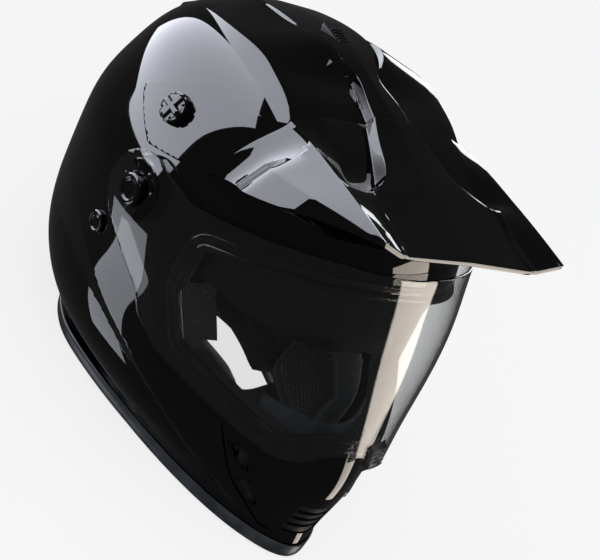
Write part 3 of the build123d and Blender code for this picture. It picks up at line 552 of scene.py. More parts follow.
def thicken(piece, thickness, bevel=0.0):
    solid = piece.modifiers.new("wall", "SOLIDIFY")
    solid.thickness, solid.offset, solid.use_even_offset = thickness * mm, -1, True
    if bevel:
        edge = piece.modifiers.new("edge", "BEVEL")
        edge.width, edge.segments, edge.limit_method = bevel * mm, 2, "ANGLE"
        edge.angle_limit, edge.use_clamp_overlap = math.radians(50), True
    return bake(piece)


# Eyeport, rim and windows, the same sizes as in the CAD
port = {
    "outline": [(61, 160), (102, 175), (127, 185), (249, 185), (249, 98), (167, 91), (155, 74), (81, 89), (64, 121)],
    "corner": 9, "wall": 3}
rim = {"flatEnd": -78, "napeTurn": -128, "napeRise": 30, "napeHeight": 37, "bend": 40, "far": 219}
chinVent = {"inner": 19, "top": 63, "foot": 9, "rear": 126, "lowerRear": 144, "tip": 170, "front": 163}
mouth = {"half": 14, "low": 14, "high": 40}
rearVent = {"half": 34, "height": 14, "centre": 196}

portField = distanceTo(roundOff(port["outline"], port["corner"]))


def inPort(grow):
    return lambda across, forward, up: grow - np.where(forward > 0, portField(forward, up), 99.0)


rimPath = roundOff([(rim["far"], -7), (rim["flatEnd"], -7), (rim["napeTurn"], -7 + rim["napeRise"]),
                    (-rim["far"], -7 + rim["napeHeight"]), (-rim["far"], -99), (rim["far"], -99)], rim["bend"], 10)
rimOrder = np.argsort(rimPath[:, 0], kind="stable")
rimTop = np.array([p for p in rimPath[rimOrder] if p[1] > -60])


def underRim(rise):
    return lambda across, forward, up: np.interp(forward, rimTop[:, 0], rimTop[:, 1]) + rise - up


def inBox(across, forward, up, centre, half):
    return np.minimum.reduce([half[0] - np.abs(across - centre[0]), half[1] - np.abs(forward - centre[1]),
                              half[2] - np.abs(up - centre[2])])


chinField = distanceTo(np.array([
    (chinVent["rear"], chinVent["top"]), (chinVent["front"], chinVent["top"]), (chinVent["tip"], chinVent["foot"]),
    (chinVent["tip"] - chinVent["foot"] / 2, chinVent["foot"]), (chinVent["lowerRear"], chinVent["top"] / 2)], float))


def inChinVent(grow):
    return lambda across, forward, up: np.minimum(
        grow - chinField(forward, up), np.abs(across) - chinVent["inner"] + grow)


def inMouth(grow):
    return lambda across, forward, up: inBox(
        across, forward, up, (0, form["chinReach"], (mouth["low"] + mouth["high"]) / 2),
        (mouth["half"] + grow, 60, (mouth["high"] - mouth["low"]) / 2 + grow))


def inRearVent(grow):
    return lambda across, forward, up: inBox(
        across, forward, up, (0, -form["napeReach"], rearVent["centre"]),
        (rearVent["half"] + grow, 60, rearVent["height"] / 2 + grow))


# Creases of the shell's side in side view: the lower one parts the skirt from the cheek
crease = {"lower": [(-130, 66), (-43, 69), (13, 61), (80, 41), (149, 10), (180, -6)],
          "upper": [(-130, 100), (-38, 91), (36, 62), (80, 45), (149, 16), (180, 2)], "depth": 2.2,
          "overRim": 8, "least": 3, "rear": -125, "rearFade": 60, "front": 165, "frontFade": 50}
creaseLow, creaseHigh = np.array(crease["lower"], float), np.array(crease["upper"], float)


def overLine(line):
    return lambda across, forward, up: up - np.interp(forward, line[:, 0], line[:, 1])


# How far the side of the shell stands in (mm): a shallow valley along the lower crease
def sideRelief(across, forward, up):
    low = np.interp(forward, creaseLow[:, 0], creaseLow[:, 1])
    high = np.interp(forward, creaseHigh[:, 0], creaseHigh[:, 1])
    foot = np.interp(forward, rimTop[:, 0], rimTop[:, 1]) + crease["overRim"]
    fade = (np.clip((forward - crease["rear"]) / crease["rearFade"], 0, 1)
            * np.clip((crease["front"] - forward) / crease["frontFade"], 0, 1))
    above = np.clip((high - up) / np.maximum(high - low, crease["least"]), 0, 1)
    below = np.clip((up - foot) / np.maximum(low - foot, crease["least"]), 0, 1)
    return -crease["depth"] * np.minimum(above, below) * fade ** 2 * (3 - 2 * fade)


# The shell's foot turns outwards towards the rim, most at the sides and the back
lip = {"height": 26, "all": 1.5, "rear": 6.5, "from": 60, "over": 90}


def flare(spots):
    forward, up = -spots[:, 1], spots[:, 2] - form["rimDrop"]
    rise = up - np.interp(forward, rimTop[:, 0], rimTop[:, 1])
    near = np.clip(1 - rise / lip["height"], 0, 1) ** 2
    reach = near * (lip["all"] + lip["rear"] * np.clip((lip["from"] - forward) / lip["over"], 0, 1))
    out = spots * (1, 1, 0) - (0, 20, 0)
    return out / np.linalg.norm(out, axis=1)[:, None] * reach[:, None]


def makeShell():
    bm = skinMesh(0, *fineness["shell"], capped=True)
    cutAlong(bm, underRim(3), drop=True)
    for line in (creaseLow, creaseHigh):
        cutAlong(bm, overLine(line), crease=True)
    for window in (inPort(0), inChinVent(0), inMouth(0), inRearVent(0)):
        cutAlong(bm, window, drop=True)
    spots, facing = spotsAndNormals(bm)
    moved = spots + facing * sideRelief(spots[:, 0], -spots[:, 1], spots[:, 2] - form["rimDrop"])[:, None]
    putBack(bm, moved + flare(spots))
    shell = pieceFrom("outer_shell_skin", meshOf(bm, "outer_shell_skin"), "gloss")
    thicken(shell, port["wall"])
    return sharpen(shell, 40)


shell = handOver(makeShell(), "helmet", "gloss_black", "outer_shell")
print("shell made:", len(shell.data.polygons), "faces")

# Where each column of the form's grid crosses the rim's line: points and outward normals
def rimLine(rise, spacing=2.5):
    grid = formGrid(0, *fineness["rim"])
    along = np.roll(grid, -1, 1) - np.roll(grid, 1, 1)
    rising = np.gradient(grid, axis=0)
    normals = np.cross(along, rising)
    normals /= np.linalg.norm(normals, axis=2)[..., None]
    if (normals[60] * (grid[60] - grid[60].mean(0))).sum() < 0:
        normals = -normals
    spots, facing = [], []
    for c in range(grid.shape[1]):
        a, f, u = grid[:, c, 0], -grid[:, c, 1], grid[:, c, 2] - form["rimDrop"]
        level = underRim(rise)(a, f, u)
        k = int(np.argmax(level < 0))
        t = level[k - 1] / (level[k - 1] - level[k])
        spots.append(grid[k - 1, c] * (1 - t) + grid[k, c] * t)
        facing.append(normals[k, c])
    return evenly(np.array(spots), np.array(facing), spacing)


# Rubber edge trim: a U section pushed over the rim, its outside rolled
trim = {"width": 6.2, "height": 8.5, "rise": 4.2, "round": 8}


def makeTrim():
    spots, facing = rimLine(trim["rise"])
    spots = spots + flare(spots)
    profile = []
    half, tall, wall = trim["width"] / 2, trim["height"], port["wall"]
    for s in range(trim["round"] + 1):      # rolled foot, from the outside round to the inside
        turn = math.pi * s / trim["round"]
        profile.append((-half * 1.1 * math.sin(turn), half * math.cos(turn) - wall / 2))
    profile += [(tall - 2, -wall / 2 - half), (tall - 1, -wall / 2 - half + 1), (tall - 1.2, -wall - 0.1),
                (tall - 5, -wall), (tall - 5, 0), (tall - 1.4, 0.1), (tall - 1.0, 0.7), (tall - 1.8, half - wall / 2)]
    along = np.roll(spots, -1, 0) - np.roll(spots, 1, 0)
    sign = 1 if np.cross(facing, along)[:, 2].mean() > 0 else -1
    return closedMesh("edge_trim_bead", *sweepRound(spots, facing, profile, sign), "rubber")


handOver(makeTrim(), "helmet", "rubber", "edge_trim")

# Eyeport seal: a rolled bead inside the opening's edge and a flat flange with a groove outside it
seal = {"bead": 3.1, "proud": 2.3, "flange": 6.5, "steps": 12}


def makeSeal():
    lines = linesOn(0, inPort(0))
    spots, facing = max(lines, key=lambda line: len(line[0]))
    middle = spots.mean(0)
    along = np.roll(spots, -1, 0) - np.roll(spots, 1, 0)
    sign = 1 if (np.cross(facing, along) * (middle - spots)).sum(1).mean() > 0 else -1
    profile, r = [], seal["bead"]
    for s in range(seal["steps"]):
        turn = 2 * math.pi * (s / (seal["steps"] - 1) * 0.8 - 0.02)
        profile.append((r * 0.75 - r * math.cos(turn) + 0.2, seal["proud"] - r + r * math.sin(turn)))
    profile = [(-seal["flange"], 0.05), (-seal["flange"] + 0.5, 0.75), (-3.8, 0.85), (-3.3, 0.45), (-2.7, 0.45),
               (-2.2, 0.95)] + profile + [(0.1, -6), (-0.6, -6), (-0.3, -0.2), (-2, 0.0)]
    return closedMesh("eyeport_seal", *sweepRound(spots, facing, profile, sign), "seal")


handOver(makeSeal(), "helmet", "rubber", "eyeport_gasket")
print("trim and seal made")

# Face shield: a clear skin standing off the shell, with round ears on the pivots
visor = {
    "outline": [(-8, 129), (20, 117), (43, 104), (55, 88), (74, 79), (160, 68), (172, 73), (178, 89), (240, 89),
                (240, 200), (120, 200), (84, 188), (50, 178), (26, 178), (8, 180)],
    "corner": 7, "gap": 6.6, "thickness": 2.2, "ear": 27, "pivot": (8, 153), "hole": 9.55,
    "tabCentre": 19, "tabWidth": 20, "tabLow": 79, "tabHeight": 17, "tabProud": 4, "ribs": 6,
    "ribDepth": 1.3, "tabBack": 1.1, "tabEnds": 6, "tabSides": 8}
visorField = distanceTo(roundOff(visor["outline"], visor["corner"]))


def inShield(across, forward, up):
    ear = visor["ear"] - np.hypot(forward - visor["pivot"][0], up - visor["pivot"][1])
    return np.where(forward > -60, np.maximum(ear, -visorField(forward, up)), -99.0)


def inBoss(radius):
    return lambda across, forward, up: radius - np.hypot(forward - visor["pivot"][0], up - visor["pivot"][1])


skinTrees = {}


# Where a ray meets the form grown by `grow`: (point in mm, normal)
def hitForm(grow, start, towards):
    if grow not in skinTrees:
        bm = skinMesh(grow, *fineness["arms"])
        bmesh.ops.triangulate(bm, faces=bm.faces)
        skinTrees[grow] = BVHTree.FromBMesh(bm)
        bm.free()
    point, normal, _, _ = skinTrees[grow].ray_cast(start, Vector(towards))
    return (point, normal) if point else (None, None)


# A point on the side of the form, in metres, and its outward normal
def onSide(side, forward, up, grow):
    return hitForm(grow, place(side * 260, forward, up + form["rimDrop"]), (-side, 0, 0))


def onFront(across, up, grow):
    return hitForm(grow, place(across, 320, up + form["rimDrop"]), (0, 1, 0))


def makeShield():
    bm = skinMesh(visor["gap"] + visor["thickness"], *fineness["shield"])
    cutAlong(bm, lambda a, f, u: -inShield(a, f, u), drop=True)
    cutAlong(bm, inBoss(visor["hole"]), drop=True)
    shield = pieceFrom("clear_face_shield", meshOf(bm, "clear_face_shield"), "clear")
    thicken(shield, visor["thickness"], 0.5)
    return sharpen(shield, 40)


shield = handOver(makeShield(), "shield", "clear", "face_shield")
print("shield made:", len(shield.data.polygons), "faces")


# Lift tab on the shield's lower edge, on the wearer's left: a lug with ribs for the thumb
def makeTab():
    columns, rows = 16, 60
    outside = visor["gap"] + visor["thickness"]
    points = []
    for back in (False, True):
        for r in range(rows + 1):
            up = visor["tabLow"] + visor["tabHeight"] * r / rows
            swell = min(1, visor["tabEnds"] * min(r, rows - r) / rows)
            wave = 0.5 - 0.5 * math.cos(2 * math.pi * visor["ribs"] * r / rows)
            for c in range(columns + 1):
                across = visor["tabCentre"] + visor["tabWidth"] * (c / columns - 0.5)
                side = min(1, visor["tabSides"] * min(c, columns - c) / columns)
                point, normal = onFront(across, up, outside)
                out = -visor["tabBack"]
                if not back:
                    out = visor["tabProud"] * swell * side - visor["ribDepth"] * wave * side * swell
                points.append(point / mm + normal * out)
    grid = gridFaces(rows + 1, columns + 1)
    half = (rows + 1) * (columns + 1)
    faces = grid + [tuple(half + i for i in face[::-1]) for face in grid]
    ring = ([c for c in range(columns + 1)] + [r * (columns + 1) + columns for r in range(1, rows + 1)]
            + [rows * (columns + 1) + c for c in range(columns - 1, -1, -1)]
            + [r * (columns + 1) for r in range(rows - 1, 0, -1)])
    faces += [(a, b, half + b, half + a) for a, b in zip(ring, ring[1:] + ring[:1])]
    return closedMesh("shield_lift_tab", [p * mm for p in points], faces, "clear")


handOver(makeTab(), "shield", "clear")


# A solid turned round an axis: profile is (radius, along), at a place with its outward normal
def turnedMesh(name, profile, centre, axis, material, steps=64):
    points, faces, starts = [], [], []
    turn = Vector(axis).to_track_quat("Z", "Y").to_matrix()
    for radius, along in profile:
        starts.append(len(points))
        if radius < 1e-6:
            points.append((0, 0, along))
            continue
        points += [(radius * math.cos(2 * math.pi * s / steps), radius * math.sin(2 * math.pi * s / steps), along)
                   for s in range(steps)]
    for i in range(len(profile) - 1):
        a, b = starts[i], starts[i + 1]
        first, second = profile[i][0] < 1e-6, profile[i + 1][0] < 1e-6
        for s in range(steps):
            t = (s + 1) % steps
            if first:
                faces.append((a, b + s, b + t))
            elif second:
                faces.append((a + s, b, a + t))
            else:
                faces.append((a + s, b + s, b + t, a + t))
    placed = [Vector(centre) + turn @ Vector(p) * mm for p in points]
    return closedMesh(name, placed, faces, material)


def joined(name, pieces, material=None):
    bm = bmesh.new()
    for piece in pieces:
        bm.from_mesh(piece.data)
    for piece in pieces:
        bpy.data.objects.remove(piece)
    return pieceFrom(name, meshOf(bm, name), material or "gloss", False)


# Pivots: a plate with a ring of small bosses and a ratchet arc under the shield, a boss and a cap
pivot = {"plate": 21, "boss": 9.5, "cap": 10.8, "capHeight": 2.2, "dimple": 6.6, "dots": 6,
         "dotRing": 15.5, "dotRadius": 1.7, "dotHeight": 1.2, "dotStart": 0.5, "dotsRound": 7.3,
         "sunk": 1.6, "capGap": 0.7}


# Starts a Geometry Nodes tree with these inputs
def startTree(name, labels):
    kinds = {"Geometry": "NodeSocketGeometry", "Count": "NodeSocketInt", "Material": "NodeSocketMaterial"}
    tree = bpy.data.node_groups.new(name, "GeometryNodeTree")
    for label in labels:
        tree.interface.new_socket(label, in_out="INPUT", socket_type=kinds.get(label, "NodeSocketFloat"))
    tree.interface.new_socket("Geometry", in_out="OUTPUT", socket_type="NodeSocketGeometry")
    return tree, addNode(tree, "NodeGroupInput").outputs


# A ball on each point, as long along its Z axis as `length` says
def ballsOn(tree, points, segments, rings, radius, length):
    ball = addNode(tree, "GeometryNodeMeshUVSphere", {"Segments": segments, "Rings": rings, "Radius": radius})
    ratio = addNode(tree, "ShaderNodeMath", {0: length, 1: radius}, operation="DIVIDE")
    size = addNode(tree, "ShaderNodeCombineXYZ", {"X": 1.0, "Y": 1.0, "Z": ratio})
    shaped = addNode(tree, "GeometryNodeTransform", {"Geometry": ball.outputs["Mesh"], "Scale": size})
    put = addNode(tree, "GeometryNodeInstanceOnPoints", {**points, "Instance": shaped})
    return addNode(tree, "GeometryNodeRealizeInstances", {"Geometry": put})


def closeTree(tree, last, material):
    dressed = addNode(tree, "GeometryNodeSetMaterial", {"Geometry": last, "Material": material})
    addNode(tree, "NodeGroupOutput", {"Geometry": dressed})
    return tree


# Geometry Nodes: `Count` small bosses spread over an arc
def bossTree(name):
    tree, given = startTree(name, ("Count", "Ring", "Radius", "Height", "Start", "Step", "Material"))
    line = addNode(tree, "GeometryNodeMeshLine", {"Count": given["Count"], "Offset": (0, 0, 0)})
    index = addNode(tree, "GeometryNodeInputIndex")
    turn = addNode(tree, "ShaderNodeMath", {
        0: index, 1: given["Step"], 2: given["Start"]}, operation="MULTIPLY_ADD")
    cosine = addNode(tree, "ShaderNodeMath", {0: turn}, operation="COSINE")
    sine = addNode(tree, "ShaderNodeMath", {0: turn}, operation="SINE")
    ring = addNode(tree, "ShaderNodeCombineXYZ", {"X": cosine, "Y": sine})
    spot = addNode(tree, "ShaderNodeVectorMath", {0: ring, "Scale": given["Ring"]}, operation="SCALE")
    spread = addNode(tree, "GeometryNodeSetPosition", {
        "Geometry": line.outputs["Mesh"], "Position": spot})
    balls = ballsOn(tree, {"Points": spread}, 16, 10, given["Radius"], given["Height"])
    smooth = addNode(tree, "GeometryNodeSetShadeSmooth", {"Geometry": balls})
    return closeTree(tree, smooth, given["Material"])


# Runs a Geometry Nodes tree with these inputs and returns its result as a plain object
def grown(name, tree, values, material, mesh=None):
    piece = pieceFrom(name, mesh or bpy.data.meshes.new(name), material, False)
    modifier = piece.modifiers.new(name, "NODES")
    modifier.node_group = tree
    for item in tree.interface.items_tree:
        if item.in_out == "INPUT" and item.name in values:
            modifier[item.identifier] = values[item.name]
    return bake(piece)


def putAt(piece, centre, axis, spin=0.0):
    turn = Vector(axis).to_track_quat("Z", "Y").to_matrix().to_4x4()
    piece.data.transform(Matrix.Translation(centre) @ turn @ Matrix.Rotation(spin, 4, "Z"))
    return piece


bosses = bossTree("ring of bosses")


def makePivot(side, word):
    forward, up = visor["pivot"]
    face = form["halfWidth"] + visor["gap"]
    high = up + form["rimDrop"]
    centre = place(side * (face - pivot["sunk"]), forward, high)
    out = (side, 0, 0)
    r, b = pivot["plate"], pivot["boss"]
    plate = turnedMesh(f"pivot_plate_disc_{word}", [
        (0, -5), (r, -5), (r, -0.8), (r - 0.8, 0), (b + 3, 0), (b + 2.4, 0.8), (b + 0.2, 0.8), (b, 0.6),
        (b, 4.4), (0, 4.4)],
        centre, out, "gloss")
    dots = grown(f"dots_{word}", bosses, {
        "Count": pivot["dots"], "Ring": pivot["dotRing"] * mm, "Radius": pivot["dotRadius"] * mm,
        "Height": pivot["dotHeight"] * mm, "Start": pivot["dotStart"],
        "Step": 2 * math.pi / pivot["dotsRound"],
        "Material": finish["gloss"]}, "gloss")
    putAt(dots, centre, out)
    plate = joined(f"pivot_plate_disc_{word}", [plate, dots], "gloss")
    plate.data.shade_smooth()
    sharpen(plate)
    handOver(plate, "helmet", "satin_black", f"pivot_plate_{word}")
    start = face + visor["thickness"] + pivot["capGap"]
    c, h, d = pivot["cap"], pivot["capHeight"], pivot["dimple"]
    cap = turnedMesh(f"pivot_cap_turned_{word}", [
        (0, 0), (c - 0.3, 0), (c, 0.3), (c, h - 1.1), (c - 0.35, h - 0.45), (c - 1.1, h - 0.1), (d + 1.5, h),
        (d + 0.8, h - 0.15), (d + 0.2, h - 0.7), (d - 0.6, h - 0.9), (d * 0.5, h - 0.78), (0, h - 0.7)],
        place(side * start, forward, high), out, "gloss", 96)
    handOver(sharpen(cap, 50), "helmet", "gloss_black", f"pivot_cap_{word}")


for side, word in sides:
    makePivot(side, word)
print("pivots made")


# Cross sections lofted into a grid: a cubic spline along the sections, straight edges across them
def loftGrid(sections, rows, across):
    sections = np.array(sections, float)
    spans = np.linalg.norm(np.diff(sections, axis=0), axis=2).mean(1)
    knots = np.concatenate([[0], np.cumsum(spans)])
    weights = splineWeights(knots, np.linspace(0, knots[-1], rows))
    smooth = np.einsum("ra,akc->rkc", weights, sections)
    columns = []
    for k in range(smooth.shape[1] - 1):
        for s in range(across):
            t = s / across
            columns.append(smooth[:, k] * (1 - t) + smooth[:, k + 1] * t)
    columns.append(smooth[:, -1])
    return np.stack(columns, 1)


def softenEdges(piece, width, degrees=14, segments=3):
    edge = piece.modifiers.new("edge", "BEVEL")
    edge.width, edge.segments, edge.limit_method = width * mm, segments, "ANGLE"
    edge.angle_limit, edge.use_clamp_overlap, edge.harden_normals = math.radians(degrees), True, False
    return bake(piece)


# Turns an open sheet's faces over unless the sum of `share` over them is positive
def turnTowards(bm, share):
    bm.normal_update()
    if sum(share(face) for face in bm.faces) < 0:
        bmesh.ops.reverse_faces(bm, faces=bm.faces)


# Peak: a hood lofted from cross sections, with a raised spine and sunk decks, and two side arms that
# lie on the shell. A row is forward, spine half width, spine, deck, ridge and edge height, edge half width
peak = {"front": 162, "ridge": 80, "height": 250, "crease": 60, "edge": 119, "slope": 3, "thickness": 3, "gap": 1.4,
        "earInner": 66, "blend": 38, "soft": 0.9, "shoulderOut": 0.70, "shoulderDown": 0.50}
hoodShares = [
    (0.247, 0.210, 1.052, 1.016, 0.988, 0.790, 0.975),
    (0.395, 0.300, 1.032, 0.996, 1.000, 0.832, 1.000),
    (0.605, 0.500, 1.014, 0.980, 1.008, 0.892, 0.941),
    (0.667, 0.640, 1.008, 1.002, 1.010, 0.912, 0.908),
    (0.802, 0.660, 0.997, 0.994, 1.013, 0.952, 0.807),
    (1.000, 0.680, 0.986, 0.985, 1.014, 1.000, 0.664),
]
earShares = [(-0.346, 0.784), (-0.173, 0.732), (-0.074, 0.708), (0.154, 0.760), (0.333, 0.808), (0.333, 0.984),
             (0.247, 0.980), (0.191, 0.956), (0.086, 0.938), (-0.068, 0.934), (-0.179, 0.868)]
earField = distanceTo(roundOff([(f * peak["front"], u * peak["height"]) for f, u in earShares], 7))


def hoodHalf(shares):
    forward, spine, top, deck, ridge, edge, wide = shares
    forward *= peak["front"]
    spine *= peak["ridge"]
    top, deck, ridge, edge = (peak["height"] * v for v in (top, deck, ridge, edge))
    wide *= peak["edge"]
    inner = max(peak["crease"], spine + 2 * peak["slope"])
    bend = (peak["ridge"] + peak["shoulderOut"] * (wide - peak["ridge"]), forward,
            ridge - peak["shoulderDown"] * (ridge - edge))
    return [(0, forward, top), (spine, forward, top - peak["slope"] / 2), (spine + peak["slope"], forward, deck),
            (inner, forward, deck), (peak["ridge"], forward, ridge), bend, (wide, forward, edge)]


def makePeak():
    rows, steps = 34, 8
    half = loftGrid([hoodHalf(shares) for shares in hoodShares], rows, steps)
    wall = 4 * steps                       # columns after this one are the side wall below the ridge
    outside = peak["gap"] + peak["thickness"]
    for r in range(rows):
        for c in range(wall, half.shape[1]):
            across, forward, up = half[r, c]
            blend = ramp(forward - half[0, 0, 1], peak["blend"])
            blend = blend * blend * (3 - 2 * blend)
            down = (c - wall) / (half.shape[1] - 1 - wall)
            if blend < 1:
                point, _ = onSide(1, forward, up, outside)
                if point:
                    free = (1 - down) ** 3
                    half[r, c, 0] = across * (blend + (1 - blend) * free) + point.x / mm * (1 - blend) * (1 - free)
    full = np.concatenate([half[:, :0:-1] * (-1, 1, 1), half], 1)
    points = [place(a, f, u + form["rimDrop"]) for a, f, u in full.reshape(-1, 3)]
    hood = meshFrom("hood", points, gridFaces(rows, full.shape[1]), "gloss")
    reshape(hood, lambda bm: turnTowards(bm, lambda face: face.normal.z))
    thicken(hood, peak["thickness"])
    arms = skinMesh(outside, *fineness["arms"])
    cutAlong(arms, lambda a, f, u: earField(f, u), drop=True)
    cutAlong(arms, lambda a, f, u: peak["earInner"] - np.abs(a), drop=True)
    cutAlong(arms, lambda a, f, u: f - hoodShares[0][0] * peak["front"], drop=True)
    armPiece = pieceFrom("arms", meshOf(arms, "arms"), "gloss")
    thicken(armPiece, peak["thickness"])
    whole = joined("peak_skin", [hood, armPiece])
    softenEdges(whole, peak["soft"])
    whole.data.shade_smooth()
    return sharpen(whole, 28)


peakPiece = handOver(makePeak(), "helmet", "gloss_black", "peak")
print("peak made:", len(peakPiece.data.polygons), "faces")

# Top vent housing: lofted from cross sections over the crown, open below
crown = {"reach": 150, "half": 76, "height": 250, "spread": 5, "slope": 1.5}
crownShares = [
    (0.260, 1.000, 0.210, 1.048, 1.012, 0.980, 0.880),
    (0.130, 1.000, 0.180, 1.060, 1.026, 1.008, 0.928),
    (-0.030, 1.000, 0.160, 1.068, 1.048, 1.022, 0.944),
    (-0.060, 1.000, 0.200, 1.070, 1.064, 1.024, 0.944),
    (-0.330, 1.000, 0.400, 1.060, 1.052, 1.000, 0.920),
    (-0.600, 0.900, 0.420, 1.014, 1.004, 0.948, 0.870),
    (-0.800, 0.780, 0.440, 0.952, 0.944, 0.890, 0.820),
    (-0.900, 0.700, 0.440, 0.900, 0.892, 0.850, 0.780),
]


def crownHalf(shares):
    forward, wide, spine, top, deck, shoulder, foot = shares
    forward *= crown["reach"]
    wide *= crown["half"]
    spine *= wide
    top, deck, shoulder, foot = (crown["height"] * v for v in (top, deck, shoulder, foot))
    slope = crown["slope"]
    return [(0, forward, top), (spine, forward, top - slope), (spine + slope, forward, deck),
            (wide, forward, shoulder), (wide + crown["spread"], forward, foot),
            (wide + crown["spread"] - 4, forward, foot - 24)]


def makeCrown():
    rows, steps = 40, 6
    half = loftGrid([crownHalf(shares) for shares in crownShares], rows, steps)
    full = np.concatenate([half[:, :0:-1] * (-1, 1, 1), half], 1)
    points = [place(a, f, u + form["rimDrop"]) for a, f, u in full.reshape(-1, 3)]
    columns = full.shape[1]
    faces = gridFaces(rows, columns)
    for row in (0, rows - 1):              # close the front and the tail with a wall
        faces.append(tuple(row * columns + c for c in range(columns)))
    housing = closedMesh("top_vent_housing_skin", points, faces, "gloss")
    softenEdges(housing, 1.4, 12)
    housing.data.shade_smooth()
    return sharpen(housing, 28)


handOver(makeCrown(), "helmet", "gloss_black", "top_vent_housing")
print("top vent housing made")

# Knurled screws of the peak: a scalloped dome with a cross grip, and side screws with a ring groove in the head
knob = {"forward": -12, "up": 206, "radius": 11, "height": 6.5, "lobes": 8, "scallop": 1.5, "grip": 1.7, "rise": 2.0,
        "wallShare": 0.45, "seat": 0.3, "shoulderShare": 0.8, "dish": 1.3, "dishDepth": 1.6, "edge": 0.8,
        "border": 1.6, "riseBorder": 1.2, "riseFade": 1.5}
sideScrew = {"forward": -16, "up": 105, "radius": 8, "height": 3}


def makeKnob(side, word):
    point, normal = onSide(side, knob["forward"], knob["up"], peak["gap"] + peak["thickness"])
    steps, rings = 160, 26
    points, faces = [], []
    for r in range(rings + 1):
        t = r / rings
        for s in range(steps):
            turn = 2 * math.pi * s / steps
            lobe = knob["scallop"] * max(0, math.cos(knob["lobes"] * turn)) ** 3
            if t < knob["wallShare"]:       # side wall
                radius = knob["radius"] - lobe
                high = knob["seat"] + knob["height"] * t / knob["wallShare"] * knob["shoulderShare"]
            else:                           # domed top, with the grip standing proud
                inner = (1 - t) / (1 - knob["wallShare"])
                radius = (knob["radius"] - lobe * inner) * inner ** 0.8
                x, y = radius * math.cos(turn), radius * math.sin(turn)
                dome = knob["shoulderShare"] + (1 - knob["shoulderShare"]) * (1 - inner ** 4)
                high = knob["seat"] + knob["height"] * dome
                bar = min(abs(x), abs(y))
                dish = (knob["dish"] * ramp(bar - knob["grip"], knob["edge"])
                        * ramp(knob["radius"] - knob["border"] - radius, knob["edge"]))
                raised = ramp(knob["radius"] - knob["riseBorder"] - radius, knob["riseFade"])
                high += knob["rise"] * raised - dish * knob["dishDepth"]
            points.append((radius * math.cos(turn), radius * math.sin(turn), high))
    points.append((0, 0, knob["seat"]))
    for r in range(rings):
        for s in range(steps):
            t = (s + 1) % steps
            faces.append((r * steps + s, r * steps + t, (r + 1) * steps + t, (r + 1) * steps + s))
    for s in range(steps):
        faces.append((len(points) - 1, (s + 1) % steps, s))
    turn = normal.to_track_quat("Z", "Y").to_matrix()
    placed = [point + turn @ Vector(p) * mm for p in points]
    head = closedMesh(f"peak_screw_{word}", placed, faces, "gloss")
    reshape(head, lambda bm: bmesh.ops.remove_doubles(bm, verts=bm.verts, dist=0.02 * mm))
    reshape(head, lambda bm: bmesh.ops.recalc_face_normals(bm, faces=bm.faces))
    handOver(sharpen(head, 40), f"knob_{word}", "satin_black", f"peak_knob_{word}")


def makeSideScrew(side, word):
    point, normal = onSide(side, sideScrew["forward"], sideScrew["up"], 0)
    r, h = sideScrew["radius"], sideScrew["height"]
    head = turnedMesh(f"side_screw_head_{word}", [
        (0, -2), (r * 0.4, -2), (r * 0.4, 0.1), (r - 0.2, 0.3), (r, 0.5), (r, h * 0.6), (r - 0.5, h * 0.9),
        (r - 1.4, h), (r - 2.2, h - 0.2), (r - 2.8, h - 1.1), (r - 3.4, h - 1.2), (r - 3.9, h - 0.5), (0, h - 0.4)],
        point, normal, "gloss", 72)
    handOver(sharpen(head, 45), "helmet", "gloss_black", f"side_screw_{word}")


for side, word in sides:
    makeKnob(side, word)
    makeSideScrew(side, word)
print("screws made")


# Sun visor: a surface turned about its own X axis, cut out over the nose
lens = {"pivot": (18, 145), "reach": 103, "half": 99, "side": 47, "thickness": 1.8, "top": 32, "bottom": -11,
        "notch": (106, 22), "hub": 10}


def makeSunVisor():
    columns, rows = 120, 40
    sag = lens["reach"] - lens["side"]
    radius = (lens["half"] ** 2 + sag ** 2) / (2 * sag)
    points, faces = [], []
    for r in range(rows + 1):
        angle = math.radians(lens["bottom"] + (lens["top"] - lens["bottom"]) * r / rows)
        for c in range(columns + 1):
            across = lens["half"] * (2 * c / columns - 1)
            reach = lens["reach"] - radius + math.sqrt(max(0, radius ** 2 - across ** 2))
            points.append(place(across, lens["pivot"][0] + reach * math.cos(angle),
                                lens["pivot"][1] + reach * math.sin(angle) + form["rimDrop"]))
    made = meshFrom("smoke_sun_visor", points, gridFaces(rows + 1, columns + 1), "smoke")
    high, wide = lens["notch"]
    reshape(made, lambda bm: turnTowards(bm, lambda face: -face.normal.y * face.calc_area()))
    reshape(made, lambda bm: cutAlong(bm, lambda a, f, u: wide - np.hypot(a, u - high), drop=True))
    thicken(made, lens["thickness"], 0.4)
    arms = []
    hub, tip = lens["hub"], lens["side"]
    outline = [(0, hub), (-hub * 0.7, hub * 0.7), (-hub, 0), (-hub * 0.7, -hub * 0.7), (0, -hub)]
    outline += [(tip * math.cos(a), tip * math.sin(a)) for a in np.radians(np.linspace(-14, 26, 14))]
    n = len(outline)
    for side in (-1, 1):
        rings = []
        for depth in (0, lens["thickness"]):
            rings.append([place(side * (lens["half"] - depth), lens["pivot"][0] + f,
                                lens["pivot"][1] + u + form["rimDrop"]) for f, u in outline])
        faces = [tuple(range(n)), tuple(range(2 * n - 1, n - 1, -1))]
        faces += [(i, (i + 1) % n, n + (i + 1) % n, n + i) for i in range(n)]
        arms.append(closedMesh(f"arm_{side}", rings[0] + rings[1], faces, "smoke"))
    whole = joined("smoke_sun_visor", [made] + arms, "smoke")
    whole.data.shade_smooth()
    return sharpen(whole, 40)


handOver(makeSunVisor(), "visor", "smoke", "sun_visor")
print("sun visor made")
